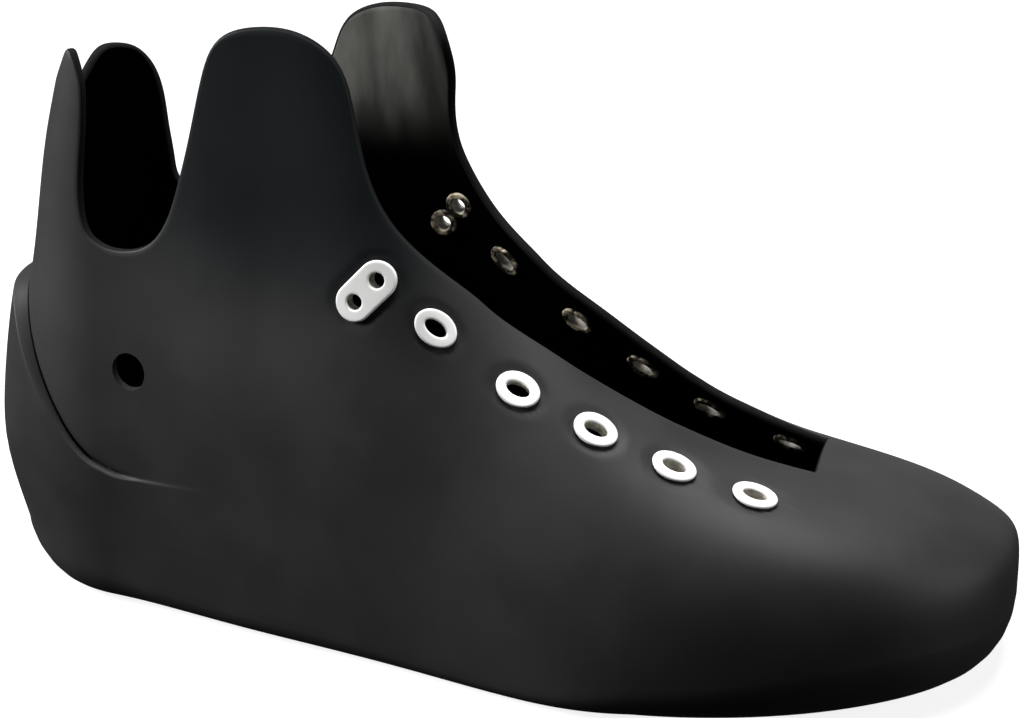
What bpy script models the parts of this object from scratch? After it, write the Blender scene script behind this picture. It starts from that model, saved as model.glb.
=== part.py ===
"""Moulded boot shell of an inline skate, right foot, with its set lace eyelets.

The shell is one hollow moulding: flat sole, toe box, open throat, two ankle wings and a heel tab.
Its wall is a function of two values. Girth runs round the foot in millimetres, from the centre of the
back (0) along the outer side to the toe (+) or along the inner side (-). Rise turns from the foot of
the wall (0) to the ridge over the foot (a right angle). Sizes are in millimetres, with x counted from
the heel's back, until they go into a mesh.
"""
import math

import bpy
import numpy as np
from mathutils import Matrix

MM = 0.001

# Driving sizes of the foot form
TOE_TIP = 300.5
HEEL_CENTRE = 38.0
BALL = 205.0
MIDDLE = 146.0
SIDE_BOW = 9.0
HEEL_POWER = 2.3
TOE_POWER = 2.45
HEEL_GIRTH = 60.0
TOE_GIRTH = 115.0
ANKLE_FRONT = 150.0
ANKLE_FADE = 60.0

# Fall of the toe box towards the inner side: share of the height, where it starts and how far it builds up
INNER_DROP = 0.148
DROP_START = 190.0
DROP_RUN = 48.0
DROP_SOFT = 0.25

# Wall, floor and edges
WALL = 2.8
FLOOR = 4.0
FIT_GAP = 0.3

BALL_GIRTH = HEEL_GIRTH + BALL - HEEL_CENTRE
HALF_GIRTH = BALL_GIRTH + TOE_GIRTH

# Half widths of the plan: station, outer side, inner side
WIDTHS = (
    (38, 37.0, 36.0),
    (80, 42.5, 37.0),
    (125, 49.0, 40.0),
    (165, 57.0, 43.0),
    (205, 63.5, 45.0),
)

# Ridge over the foot, had the wall closed there: station, height
RIDGE = (
    (0, 700),
    (60, 520),
    (100, 315),
    (125, 200),
    (150, 126),
    (175, 99),
    (205, 74.3),
    (230, 62),
    (255, 55.5),
    (280, 49),
    (300, 44),
)

# How square the section is: girth, power of its curve
SQUARENESS = (
    (0, 2.4),
    (120, 2.35),
    (190, 2.4),
    (227, 2.9),
    (270, 4.7),
    (310, 7.4),
    (342, 11),
)

# What changes up the ankle: height, share of the width, reach behind the heel centre
LEVELS = (
    (0, 1.0, 31.0),
    (20, 1.0, 36.0),
    (40, 0.995, 42.0),
    (60, 0.985, 41.0),
    (85, 0.935, 36.4),
    (98, 0.9, 33.2),
    (110, 0.873, 30.7),
    (140, 0.848, 24.1),
    (165, 0.833, 15.8),
    (185, 0.83, 12.0),
)

# Round of the bottom edge: girth, radius
BOTTOM_EDGE = (
    (0, 22),
    (30, 15.5),
    (60, 8.5),
    (110, 6.5),
    (165, 4.6),
    (205, 5),
    (240, 13),
    (285, 20.5),
    (342, 18.5),
)

# Heel cup, a step in the wall: girth, height of its edge, height of the ledge, how far it stands proud
HEEL_CUP = (
    (0, 94, 3.0, 4.5),
    (12, 93.5, 3.0, 4.5),
    (21, 90.5, 2.5, 4.2),
    (31, 81, 2.0, 3.4),
    (40, 69.5, 1.6, 2.8),
    (48, 58.5, 1.4, 2.2),
    (54, 50.5, 1.2, 1.6),
    (61, 45, 1.2, 1.1),
    (70, 43.8, 1.4, 0.6),
    (80, 44.5, 1.8, 0.3),
    (90, 45.5, 2.3, 0.1),
    (100, 46.5, 3.0, 0.0),
    (110, 46.6, 4.0, 0.0),
    (125, 46, 5.5, 0.0),
    (160, 44, 8.0, 0.0),
    (227, 36, 8.0, 0.0),
    (342, 31, 6.0, 0.0),
)

# Throat edge: place, outer side and inner side, each with station and distance from the foot's middle
THROAT = (
    ((245, 12.8), (243.5, 18.0)),
    ((237, 14.0), (233, 20.5)),
    ((224, 16.5), (219, 24.8)),
    ((209, 19.9), (205, 27.4)),
    ((194, 24.2), (193, 26.7)),
    ((181, 27.3), (181, 25.7)),
    ((168, 28.5), (168, 25.0)),
    ((155, 29.7), (156, 24.6)),
)
# Points of the curve drawn through them, on each side
THROAT_POINTS = 29

# Collar edge: place, outer side and inner side, each with girth and height
COLLAR = (
    ("throat", (166.3, 114.8), (166.3, 111.6)),
    ("wing root", (154, 127.2), (156, 125.3)),
    ("wing front", (148, 137), (152.5, 133.5)),
    ("wing front", (144.3, 148), (152, 147)),
    ("wing front", (142, 158), (154, 160.3)),
    ("wing front corner", (137, 170.5), (151.2, 170.8)),
    ("wing top", (127.4, 176.8), (139.5, 174.2)),
    ("wing top", (114, 177.7), (127, 172.8)),
    ("wing rear corner", (103.4, 173.8), (118.5, 168)),
    ("wing rear", (97.3, 162), (114, 159)),
    ("wing rear", (93, 146), (106.5, 143.5)),
    ("wing rear", (88.6, 131.5), (97, 129)),
    ("notch root", (83, 118.4), (88, 118.5)),
    ("notch", (78.5, 113.3), (81, 113.5)),
    ("notch", (69.7, 110), (72, 110.5)),
    ("notch", (61.8, 110.8), (63.5, 110.5)),
    ("tab root", (57.2, 114.6), (58.8, 114)),
    ("tab side", (55.3, 120.5), (57.5, 120)),
    ("tab side", (56.3, 141), (55.5, 132)),
    ("tab side", (57.2, 154), (52.4, 143.6)),
    ("tab corner", (55.7, 159.3), (46.5, 150.2)),
    ("tab top", (45, 166.2), (36, 155)),
    ("tab top", (36.5, 162), (24, 157.2)),
    ("tab top", (20, 152.5), (11, 157.2)),
)
BACK_HEIGHT = 147.5

# Lace eyelets, from the top of the throat to its front: outer side and inner side, each with girth and height
EYELETS = (
    ((166.7, 100.5), (167.5, 99.5)),
    ((189.8, 85.1), (189.5, 83.7)),
    ((211.3, 75.4), (209, 70.5)),
    ((231.3, 66), (228, 58.7)),
    ((257, 59.2), (248, 50.4)),
)
# The two holes of the top lace plate: outer side and inner side, each with girth and height
PLATE_HOLES = (
    ((150.6, 113), (151.9, 114.4)),
    ((144.4, 106.6), (146.8, 108.3)),
)

# Eyelet: half length, half width
BORE = (3.4, 1.85)
BARREL = (4.0, 2.45)
FLANGE = (6.3, 4.75)
ROLL = (5.4, 3.85)
FLANGE_THICK = 0.9
ROLL_THICK = 0.8
ROLL_GAP = 0.5
EYELET_SIDES = 12

# Lace plate
PLATE_HALF_LENGTH = 10.1
PLATE_HALF_WIDTH = 5.4
PLATE_MIDDLE_SHARE = 0.35
PLATE_BORE = 2.2
PLATE_BARREL = 2.8
PLATE_ROLL = 3.8

# Powers of the terms that bend an eyelet or plate to the wall: along it, across it
BEND_ALONG = (2, 1, 0, 3, 2, 1, 0)
BEND_ACROSS = (0, 1, 2, 0, 1, 2, 3)

# Cuff pivot hole
PIVOT_X = 48.6
PIVOT_HEIGHT = 74.9
PIVOT_RADIUS = 5.5
PIVOT_SIDES = 24

# Mesh steps
THROAT_STEPS = 24
FRONT_STEPS = 7
WING_STEPS = 12
WING_ROWS = 7
NOTCH_STEPS = 7
TAB_STEPS = 20
TAB_ROWS = 6
EDGE_ROWS = 3
CUP_ROWS = 4
SIDE_ROWS = 5


def column(table, number):
    """One column of a table as an array."""
    return np.array([row[number] for row in table], float)


def smooth(stations, values):
    """Curve through the values, smooth to its second derivative and level at both ends."""
    gaps = np.diff(stations)
    count = len(stations)
    weights = np.eye(count)
    pull = np.zeros(count)
    rate = np.diff(values) / gaps ** 2
    for i in range(1, count - 1):
        weights[i, i - 1] = 1 / gaps[i - 1]
        weights[i, i] = 2 / gaps[i - 1] + 2 / gaps[i]
        weights[i, i + 1] = 1 / gaps[i]
        pull[i] = 3 * (rate[i - 1] + rate[i])
    slopes = np.linalg.solve(weights, pull)

    def at(place):
        place = np.clip(place, stations[0], stations[-1])
        i = np.clip(np.searchsorted(stations, place) - 1, 0, count - 2)
        t = (place - stations[i]) / gaps[i]
        start = (1 + 2 * t) * (1 - t) ** 2 * values[i] + t * (1 - t) ** 2 * gaps[i] * slopes[i]
        end = t * t * (3 - 2 * t) * values[i + 1] + t * t * (t - 1) * gaps[i] * slopes[i + 1]
        return start + end
    return at


def table_curve(table, number):
    """Smooth curve of one table column over the table's first column."""
    return smooth(column(table, 0), column(table, number))


outer_half = table_curve(WIDTHS, 1)
inner_half = table_curve(WIDTHS, 2)
ridge_log = smooth(column(RIDGE, 0), np.log(column(RIDGE, 1)))
squareness = table_curve(SQUARENESS, 1)
ankle_share = table_curve(LEVELS, 1)
heel_reach = table_curve(LEVELS, 2)
bottom_radius = table_curve(BOTTOM_EDGE, 1)
cup_edge = table_curve(HEEL_CUP, 1)
cup_ledge = table_curve(HEEL_CUP, 2)
cup_proud = table_curve(HEEL_CUP, 3)


def ease(t):
    """Smooth step from 0 to 1."""
    t = np.clip(t, 0, 1)
    return t * t * (3 - 2 * t)


def mid_line(x):
    """Sideways place of the foot's middle: a shallow bow towards the outer side."""
    share = x / TOE_TIP
    return -SIDE_BOW * 4 * share * (1 - share)


def wrapped(girth):
    """Girth counted from the back, also where it was counted on past the toe."""
    past_toe = np.abs(girth) > HALF_GIRTH
    return np.where(past_toe, girth - np.sign(girth) * 2 * HALF_GIRTH, girth)


def wall(girth, rise):
    """Outer face of the plain wall: a rounded section standing on a rounded plan."""
    girth = wrapped(girth)
    side = np.where(girth >= 0, -1.0, 1.0)
    along = np.abs(girth)
    across = np.cos(rise) ** (2 / squareness(along))
    up = np.sin(rise) ** (2 / squareness(along))
    heel_turn = 0.5 * math.pi * np.clip(along / HEEL_GIRTH, 0, 1)
    toe_turn = 0.5 * math.pi * np.clip((along - BALL_GIRTH) / TOE_GIRTH, 0, 1)
    station = HEEL_CENTRE + np.clip(along - HEEL_GIRTH, 0, BALL - HEEL_CENTRE)
    half = np.where(side < 0, outer_half(station), inner_half(station))
    back = np.cos(heel_turn) ** (2 / HEEL_POWER)
    front = np.sin(toe_turn) ** (2 / TOE_POWER)
    x_front = station + (TOE_TIP - BALL) * across * front
    y_share = np.sin(heel_turn) ** (2 / HEEL_POWER) * np.cos(toe_turn) ** (2 / TOE_POWER)
    inward = np.where(side > 0, across * y_share, 0.0)
    fall = INNER_DROP * ease((x_front - DROP_START) / DROP_RUN) * inward ** 2 / (inward + DROP_SOFT)
    z = np.exp(ridge_log(x_front - HEEL_CENTRE * back)) * up * (1 - fall)
    x = x_front - heel_reach(z) * across * back
    narrowing = ease((ANKLE_FRONT - x) / ANKLE_FADE) * (1 - ankle_share(z))
    y = mid_line(x) + side * half * (1 - narrowing) * across * y_share
    return np.stack([x, y, z], -1)


def wall_normal(girth, rise):
    """Outward direction of the wall, from small steps along its two values."""
    d_girth = 0.25
    d_rise = 0.004
    along = wall(girth + d_girth, rise) - wall(girth - d_girth, rise)
    up = wall(girth, rise + d_rise) - wall(girth, np.maximum(rise - d_rise, 1e-4))
    normal = np.cross(along, up)
    return normal / np.linalg.norm(normal, axis=-1, keepdims=True)


def rise_where(girth, measure, target):
    """Rise at which a measure of the wall point, growing with rise, meets its target."""
    low = np.full(np.shape(girth), 0.001)
    high = np.full(np.shape(girth), 0.5 * math.pi - 0.001)
    for _ in range(40):
        middle = 0.5 * (low + high)
        short = measure(wall(girth, middle)) < target
        low = np.where(short, middle, low)
        high = np.where(short, high, middle)
    return 0.5 * (low + high)


def rise_at_height(girth, height):
    """Rise at which the wall reaches a height."""
    return rise_where(girth, lambda point: point[..., 2], height)


def throat_place(x, opening, half_width):
    """Girth and rise of the wall at a place along the foot and a distance from the foot's middle."""
    forward = max(x - BALL, 0) / (TOE_TIP - BALL)
    sideways = opening / half_width(min(x, BALL))
    across = (forward ** TOE_POWER + sideways ** TOE_POWER) ** (1 / TOE_POWER)
    turn = math.atan2(forward ** (0.5 * TOE_POWER), sideways ** (0.5 * TOE_POWER))
    girth = HEEL_GIRTH + min(x, BALL) - HEEL_CENTRE + TOE_GIRTH * turn / (0.5 * math.pi)
    return girth, math.acos(across ** (0.5 * squareness(girth)))


def rim_side(side, half_width, pick):
    """Names, girths and rises of one side's upper edge, from the front of the throat to the back."""
    rows = []
    numbers = np.arange(len(THROAT))
    station = smooth(numbers, np.array([row[pick][0] for row in THROAT], float))
    opening = smooth(numbers, np.array([row[pick][1] for row in THROAT], float))
    for number in np.linspace(0, len(THROAT) - 1, THROAT_POINTS):
        girth, rise = throat_place(station(number), opening(number), half_width)
        rows.append(("throat" if rows else "throat corner", side * girth, rise))
    for place, *values in COLLAR:
        girth, height = values[pick]
        rows.append((place, side * girth, float(rise_at_height(np.array(side * girth), height))))
    return rows


def rim_line():
    """Smooth lines of girth, height and rise round the upper edge, and how far along each corner is."""
    back_rise = float(rise_at_height(np.array(0.0), BACK_HEIGHT))
    rows = rim_side(1, outer_half, 0) + [("back centre", 0.0, back_rise)]
    rows += [("inner " + place, girth, rise) for place, girth, rise in reversed(rim_side(-1, inner_half, 1))]
    girths = np.array([row[1] for row in rows])
    rises = np.array([row[2] for row in rows])
    points = wall(girths, rises)
    run = np.concatenate([[0], np.cumsum(np.linalg.norm(np.diff(points, axis=0), axis=1))])
    corners = {row[0]: run[i] for i, row in enumerate(rows)}
    return smooth(run, girths), smooth(run, points[:, 2]), smooth(run, rises), corners


rim_girth, rim_height, rim_rise, RIM_AT = rim_line()


def rim_stretch(start, end, steps):
    """Girths, heights and rises of even steps along the upper edge between two named corners."""
    run = np.linspace(RIM_AT[start], RIM_AT[end], steps + 1)
    return np.stack([rim_girth(run), rim_height(run), rim_rise(run)], -1)


def straight(start, end, steps):
    """Even steps from one point to another."""
    t = np.linspace(0, 1, steps + 1)[:, None]
    return start + (end - start) * t


def patch(bottom, top, left, right):
    """Grid of girths and heights inside four edges, blended from all of them."""
    u = np.linspace(0, 1, len(bottom))[None, :, None]
    v = np.linspace(0, 1, len(left))[:, None, None]
    sides = (1 - u) * left[:, None] + u * right[:, None]
    ends = (1 - v) * bottom[None] + v * top[None]
    corners = (1 - v) * ((1 - u) * bottom[0] + u * bottom[-1]) + v * ((1 - u) * top[0] + u * top[-1])
    return sides + ends - corners


class Skin:
    """Points of the outer and inner face, numbered alike, and the faces between them."""

    def __init__(self):
        self.outer = []
        self.inner = []
        self.faces = []
        self.count = 0

    def add(self, outer, inner):
        """Adds a block of points and gives back their numbers in the block's shape."""
        shape = outer.shape[:-1]
        size = int(np.prod(shape))
        numbers = np.arange(self.count, self.count + size).reshape(shape)
        self.outer.append(outer.reshape(-1, 3))
        self.inner.append(inner.reshape(-1, 3))
        self.count += size
        return numbers

    def fill(self, numbers):
        """Faces of a grid of numbers whose rows go up and whose columns go from outer side to inner."""
        a, b = numbers[:-1, :-1], numbers[:-1, 1:]
        c, d = numbers[1:, 1:], numbers[1:, :-1]
        self.faces += np.stack([a, d, c, b], -1).reshape(-1, 4).tolist()

    def close(self, ring):
        """Flat strips across a ring of numbers that starts at the back, inner side first."""
        count = len(ring)
        self.faces.append([ring[0], ring[1], ring[count - 1]])
        for i in range(1, (count - 1) // 2):
            self.faces.append([ring[count - i], ring[i], ring[i + 1], ring[count - i - 1]])

    def mesh(self, rim):
        """Closed mesh of both faces, with a strip along the rim from one to the other."""
        points = np.concatenate(self.outer + self.inner)
        inside = [[number + self.count for number in reversed(face)] for face in self.faces]
        ahead = np.roll(rim, -1)
        edge = np.stack([rim, rim + self.count, ahead + self.count, ahead], -1)
        return points, self.faces + inside + edge.tolist()


def wall_block(girths, rises, proud=0.0):
    """Outer and inner points of the wall at some girths and rises."""
    points = wall(girths, rises)
    normals = wall_normal(girths, rises)
    return points + normals * np.asarray(proud)[..., None], points - normals * WALL


def edge_block(girths):
    """Rounded edge between the sole and the wall, from the sole up, without its last row."""
    along = np.abs(girths)
    radius = bottom_radius(along)
    rises = rise_at_height(girths, radius)
    foot = wall(girths, rises)
    normals = wall_normal(girths, rises)
    normals[:, 2] = 0
    normals /= np.linalg.norm(normals, axis=-1, keepdims=True)
    outer = []
    inner = []
    for turn in np.linspace(0, 0.5 * math.pi, EDGE_ROWS + 1)[:-1]:
        inset = (radius * (1 - math.sin(turn)))[:, None]
        point = foot - normals * inset
        point[:, 2] = radius * (1 - math.cos(turn))
        outer.append(point + normals * cup_proud(along)[:, None])
        small = radius - WALL
        hollow = foot - normals * (WALL + small * (1 - math.sin(turn)))[:, None]
        hollow[:, 2] = radius - small * math.cos(turn) + (FLOOR - WALL) * math.cos(turn)
        inner.append(hollow)
    return np.array(outer), np.array(inner), rises


def throat_front(girths, corner, far_corner):
    """Rise of the straight cut across the toe box between the two throat corners."""
    slant = (far_corner[0] - corner[0]) / (far_corner[1] - corner[1])
    reach = corner[0] - slant * corner[1]
    return rise_where(girths, lambda point: slant * point[..., 1] - point[..., 0], -reach)


def shell_mesh():
    """Points and faces of the shell, before its holes are cut."""
    throat = rim_stretch("throat corner", "wing root", THROAT_STEPS)
    front_edge = rim_stretch("wing root", "wing front corner", WING_ROWS)
    wing_top = rim_stretch("wing front corner", "wing rear corner", WING_STEPS)
    rear_edge = rim_stretch("wing rear corner", "notch root", WING_ROWS)
    notch = rim_stretch("notch root", "tab root", NOTCH_STEPS)
    tab_side = rim_stretch("tab root", "tab corner", TAB_ROWS)
    tab_top = rim_stretch("tab corner", "inner tab corner", TAB_STEPS)
    far_tab_side = rim_stretch("inner tab corner", "inner tab root", TAB_ROWS)
    far_notch = rim_stretch("inner tab root", "inner notch root", NOTCH_STEPS)
    far_rear_edge = rim_stretch("inner notch root", "inner wing rear corner", WING_ROWS)
    far_wing_top = rim_stretch("inner wing rear corner", "inner wing front corner", WING_STEPS)
    far_front_edge = rim_stretch("inner wing front corner", "inner wing root", WING_ROWS)
    far_throat = rim_stretch("inner wing root", "inner throat corner", THROAT_STEPS)
    wing_base = straight(throat[-1], notch[0], WING_STEPS)
    tab_base = straight(notch[-1], far_notch[0], TAB_STEPS)
    far_wing_base = straight(far_notch[-1], far_throat[0], WING_STEPS)

    # Upper row of the belt below wings and tab, all the way round from the outer throat corner
    pieces = [throat, wing_base, notch, tab_base, far_notch, far_wing_base, far_throat]
    belt = np.concatenate([piece[:-1] for piece in pieces] + [far_throat[-1:]])
    front_girths = np.linspace(far_throat[-1, 0], throat[0, 0] - 2 * HALF_GIRTH, FRONT_STEPS + 1)[1:-1]
    girths = wrapped(np.concatenate([belt[:, 0], front_girths]))
    belt_rises = rise_at_height(belt[:, 0], belt[:, 1])
    belt_rises[:len(throat)] = throat[:, 2]
    belt_rises[-len(far_throat):] = far_throat[:, 2]
    corners = wall(belt[[0, -1], 0], belt_rises[[0, -1]])
    rises = np.concatenate([belt_rises, throat_front(front_girths, corners[0], corners[1])])

    skin = Skin()
    along = np.abs(girths)
    edge_outer, edge_inner, edge_rises = edge_block(girths)
    lower = rise_at_height(girths, cup_edge(along) - cup_ledge(along))
    upper = rise_at_height(girths, cup_edge(along))
    cup_share = np.linspace(0, 1, CUP_ROWS + 1)[:, None]
    side_share = np.linspace(0, 1, SIDE_ROWS + 1)[:, None]
    cup_rises = edge_rises + (lower - edge_rises) * cup_share
    side_rises = upper + (rises - upper) * side_share
    all_girths = np.broadcast_to(girths, cup_rises.shape)
    all_proud = np.broadcast_to(cup_proud(along), cup_rises.shape)
    cup_outer, cup_inner = wall_block(all_girths, cup_rises, all_proud)
    all_girths = np.broadcast_to(girths, side_rises.shape)
    side_outer, side_inner = wall_block(all_girths, side_rises, np.zeros(side_rises.shape))
    outer = np.concatenate([edge_outer, cup_outer, side_outer])
    inner = np.concatenate([edge_inner, cup_inner, side_inner])
    belt_numbers = skin.add(outer, inner)
    closed = np.concatenate([belt_numbers, belt_numbers[:, :1]], axis=1)
    skin.fill(closed)
    top = belt_numbers[-1]

    def raised(base_numbers, grid):
        """Adds a patch whose lowest row is already there, and gives back all its numbers."""
        patch_rises = rise_at_height(grid[1:, :, 0], grid[1:, :, 1])
        numbers = skin.add(*wall_block(grid[1:, :, 0], patch_rises, np.zeros(patch_rises.shape)))
        numbers = np.concatenate([base_numbers[None], numbers])
        skin.fill(numbers)
        return numbers

    starts = np.cumsum([0] + [len(piece) - 1 for piece in pieces])
    wing = raised(top[starts[1]:starts[2] + 1], patch(wing_base, wing_top, front_edge, rear_edge[::-1]))
    tab = raised(top[starts[3]:starts[4] + 1], patch(tab_base, tab_top, tab_side, far_tab_side[::-1]))
    far_grid = patch(far_wing_base, far_wing_top, far_rear_edge, far_front_edge[::-1])
    far_wing = raised(top[starts[5]:starts[6] + 1], far_grid)

    def around(numbers):
        """Free edge of a raised patch: up one side, along the top, down the other side."""
        return np.concatenate([numbers[1:, 0], numbers[-1, 1:], numbers[-2:0:-1, -1]])

    rim = np.concatenate([
        top[starts[0]:starts[1] + 1], around(wing),
        top[starts[2]:starts[3] + 1], around(tab),
        top[starts[4]:starts[5] + 1], around(far_wing),
        top[starts[6]:],
    ])

    # Sole and floor: strips from the inner side to the outer one, from the back to the toe
    ring = np.roll(belt_numbers[0], -(starts[3] + TAB_STEPS // 2))
    skin.close(ring)
    return skin.mesh(rim)


def ellipse(half_length, half_width, sides):
    """Outline of an oval or, with equal halves, a circle."""
    turn = np.arange(sides) * 2 * math.pi / sides
    return np.stack([half_length * np.cos(turn), half_width * np.sin(turn)], -1)


def stadium(half_length, radius, sides):
    """Outline with two straight sides and two round ends."""
    turn = np.linspace(-0.5 * math.pi, 0.5 * math.pi, sides // 2)
    end = np.stack([half_length - radius + radius * np.cos(turn), radius * np.sin(turn)], -1)
    return np.concatenate([end, -end])


def loft(rows, ring=False):
    """Points and faces of outlines joined in turn, from the top down; a ring joins the last to the first."""
    sides = len(rows[0][0])
    points = []
    for outline, height in rows:
        points.append(np.column_stack([outline, np.full(sides, height)]))
    numbers = np.arange(len(rows) * sides).reshape(len(rows), sides)
    upper = numbers if ring else numbers[:-1]
    lower = np.roll(numbers, -1, axis=0) if ring else numbers[1:]
    quads = np.stack([upper, lower, np.roll(lower, -1, axis=1), np.roll(upper, -1, axis=1)], -1)
    faces = [list(quad) for quad in quads.reshape(-1, 4)]
    if not ring:
        faces.append(list(numbers[0]))
        faces.append(list(numbers[-1][::-1]))
    return np.concatenate(points), faces


def joined(shapes):
    """Several shapes as one list of points and faces."""
    points = []
    faces = []
    count = 0
    for shape_points, shape_faces in shapes:
        points.append(shape_points)
        faces += [[number + count for number in face] for face in shape_faces]
        count += len(shape_points)
    return np.concatenate(points), faces


def moved(shape, matrix):
    """A shape turned and moved by a matrix."""
    points, faces = shape
    return points @ matrix[:3, :3].T + matrix[:3, 3], faces


def seat(girth, height, towards):
    """Matrix of a place on the wall: lengthwise towards a point, then across, then straight out."""
    rise = rise_at_height(np.array(girth), height)
    origin = wall(girth, rise)
    out = wall_normal(girth, rise)
    length = towards - origin
    length -= out * (length @ out)
    length /= np.linalg.norm(length)
    matrix = np.eye(4)
    matrix[:3, :3] = np.stack([length, np.cross(out, length), out], -1)
    matrix[:3, 3] = origin
    return matrix


def bent(shape, matrix, girth, height):
    """A shape pressed to the bend of the wall at its seat, out of flat by square and cubic terms."""
    girths, heights = np.meshgrid(girth + np.linspace(-9, 9, 7), height + np.linspace(-8, 8, 7))
    near = (on_wall(girths, heights) - matrix[:3, 3]) @ matrix[:3, :3]
    terms = near[..., :1] ** BEND_ALONG * near[..., 1:2] ** BEND_ACROSS
    bend = np.linalg.lstsq(terms.reshape(-1, len(BEND_ALONG)), near[..., 2].ravel(), rcond=None)[0]
    points, faces = shape
    lift = (points[:, :1] ** BEND_ALONG * points[:, 1:2] ** BEND_ACROSS) @ bend
    return points + np.outer(lift, [0, 0, 1]), faces


def on_wall(girth, height):
    """Point of the wall at a girth and a height."""
    return wall(girth, rise_at_height(np.asarray(girth), height))


def side_places(table, side):
    """Girths and heights of one side's places in a table."""
    picked = [row[0 if side > 0 else 1] for row in table]
    return [(side * girth, height) for girth, height in picked]


def eyelet_seats(side):
    """Places of one side's eyelets and their seats, each lying along the row."""
    places = side_places(EYELETS, side)
    seats = []
    for i, place in enumerate(places):
        other = places[i + 1] if i + 1 < len(places) else places[i - 1]
        seats.append((place, seat(*place, on_wall(*other))))
    return seats


def plate_seat(side):
    """Place of one side's lace plate, its seat, and half the distance between its holes."""
    front, rear = side_places(PLATE_HOLES, side)
    middle = 0.5 * (np.array(front) + np.array(rear))
    half = 0.5 * np.linalg.norm(on_wall(*front) - on_wall(*rear))
    return middle, seat(*middle, on_wall(*front)), half


def eyelet_shape():
    """Flange outside, barrel through the wall and the rolled end inside, round one bore."""
    flange_top = FIT_GAP + FLANGE_THICK
    roll_top = -(WALL + ROLL_GAP)
    roll_foot = roll_top - ROLL_THICK
    rows = (
        (BORE, flange_top),
        (FLANGE, flange_top),
        (FLANGE, FIT_GAP),
        (BARREL, FIT_GAP),
        (BARREL, roll_top),
        (ROLL, roll_top),
        (ROLL, roll_foot),
        (BORE, roll_foot),
    )
    return loft([(ellipse(*halves, EYELET_SIDES), height) for halves, height in rows], ring=True)


def plate_shapes(half_spacing):
    """Lace plate, its two posts with rolled ends, and the bores through them."""
    flange_top = FIT_GAP + FLANGE_THICK
    roll_top = -(WALL + ROLL_GAP)
    roll_foot = roll_top - ROLL_THICK
    outline = stadium(PLATE_HALF_LENGTH, PLATE_HALF_WIDTH, 2 * EYELET_SIDES)
    middle_ring = PLATE_MIDDLE_SHARE * outline
    top = [(middle_ring, flange_top), (outline, flange_top)]
    plate = loft(top + [(outline, FIT_GAP), (middle_ring, FIT_GAP)])
    barrel = ellipse(PLATE_BARREL, PLATE_BARREL, EYELET_SIDES)
    roll = ellipse(PLATE_ROLL, PLATE_ROLL, EYELET_SIDES)
    middle = FIT_GAP + 0.5 * FLANGE_THICK
    post = loft([(barrel, middle), (barrel, roll_top), (roll, roll_top), (roll, roll_foot)])
    bore = through_hole(PLATE_BORE, PLATE_BORE, EYELET_SIDES)
    pair = pair_shifts(half_spacing)
    posts = joined([moved(post, shift) for shift in pair])
    bores = joined([moved(bore, shift) for shift in pair])
    return plate, posts, bores


def pair_shifts(half_spacing):
    """Matrices that put a shape at the two holes of a lace plate."""
    shifts = []
    for along in (half_spacing, -half_spacing):
        shift = np.eye(4)
        shift[0, 3] = along
        shifts.append(shift)
    return shifts


def through_hole(half_length, half_width, sides, reach=9.0):
    """Straight cutter long enough to pass the wall."""
    outline = ellipse(half_length, half_width, sides)
    return loft([(outline, reach), (outline, -reach)])


def hole_cutters():
    """Every hole of the shell: eyelets, lace plates and the cuff pivot through both sides."""
    eyelet = through_hole(BARREL[0] + FIT_GAP, BARREL[1] + FIT_GAP, EYELET_SIDES)
    post_radius = PLATE_BARREL + FIT_GAP
    post = through_hole(post_radius, post_radius, EYELET_SIDES)
    shapes = []
    for side in (1, -1):
        shapes += [moved(eyelet, matrix) for _, matrix in eyelet_seats(side)]
        _, matrix, half_spacing = plate_seat(side)
        shapes += [moved(post, matrix @ shift) for shift in pair_shifts(half_spacing)]
    pivot = through_hole(PIVOT_RADIUS, PIVOT_RADIUS, PIVOT_SIDES, reach=70.0)
    across = np.eye(4)
    across[:3, :3] = np.array([[1, 0, 0], [0, 0, -1], [0, 1, 0]])
    across[:3, 3] = (PIVOT_X, 0, PIVOT_HEIGHT)
    shapes.append(moved(pivot, across))
    return joined(shapes)


def material(name, colour, roughness, metallic):
    """Plain finish with the piece's colour."""
    made = bpy.data.materials.new(name)
    made.use_nodes = True
    shader = made.node_tree.nodes["Principled BSDF"]
    shader.inputs["Base Color"].default_value = (*colour, 1)
    shader.inputs["Roughness"].default_value = roughness
    shader.inputs["Metallic"].default_value = metallic
    return made


def make_mesh(name, shape):
    """Mesh in metres from points in millimetres."""
    points, faces = shape
    mesh = bpy.data.meshes.new(name)
    mesh.from_pydata((points * MM).tolist(), [], [list(map(int, face)) for face in faces])
    mesh.shade_smooth()
    mesh.set_sharp_from_angle(angle=math.radians(35))
    return mesh


def make_object(name, mesh, finish, matrix=None):
    """Object in the scene, set where a matrix in shoe millimetres says."""
    made = bpy.data.objects.new(name, mesh)
    bpy.context.collection.objects.link(made)
    if finish:
        if not mesh.materials:
            mesh.materials.append(finish)
    else:
        made.hide_render = True
        made.display_type = "WIRE"
    place = np.eye(4) if matrix is None else matrix.copy()
    place[:3, 3] = (place[:3, 3] - (MIDDLE, 0, 0)) * MM
    made.matrix_world = Matrix(place.tolist())
    return made


def cut(target, tool, operation):
    """Boolean of one object with another."""
    step = target.modifiers.new(operation.lower(), "BOOLEAN")
    step.operation = operation
    step.solver = "EXACT"
    step.object = tool


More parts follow.
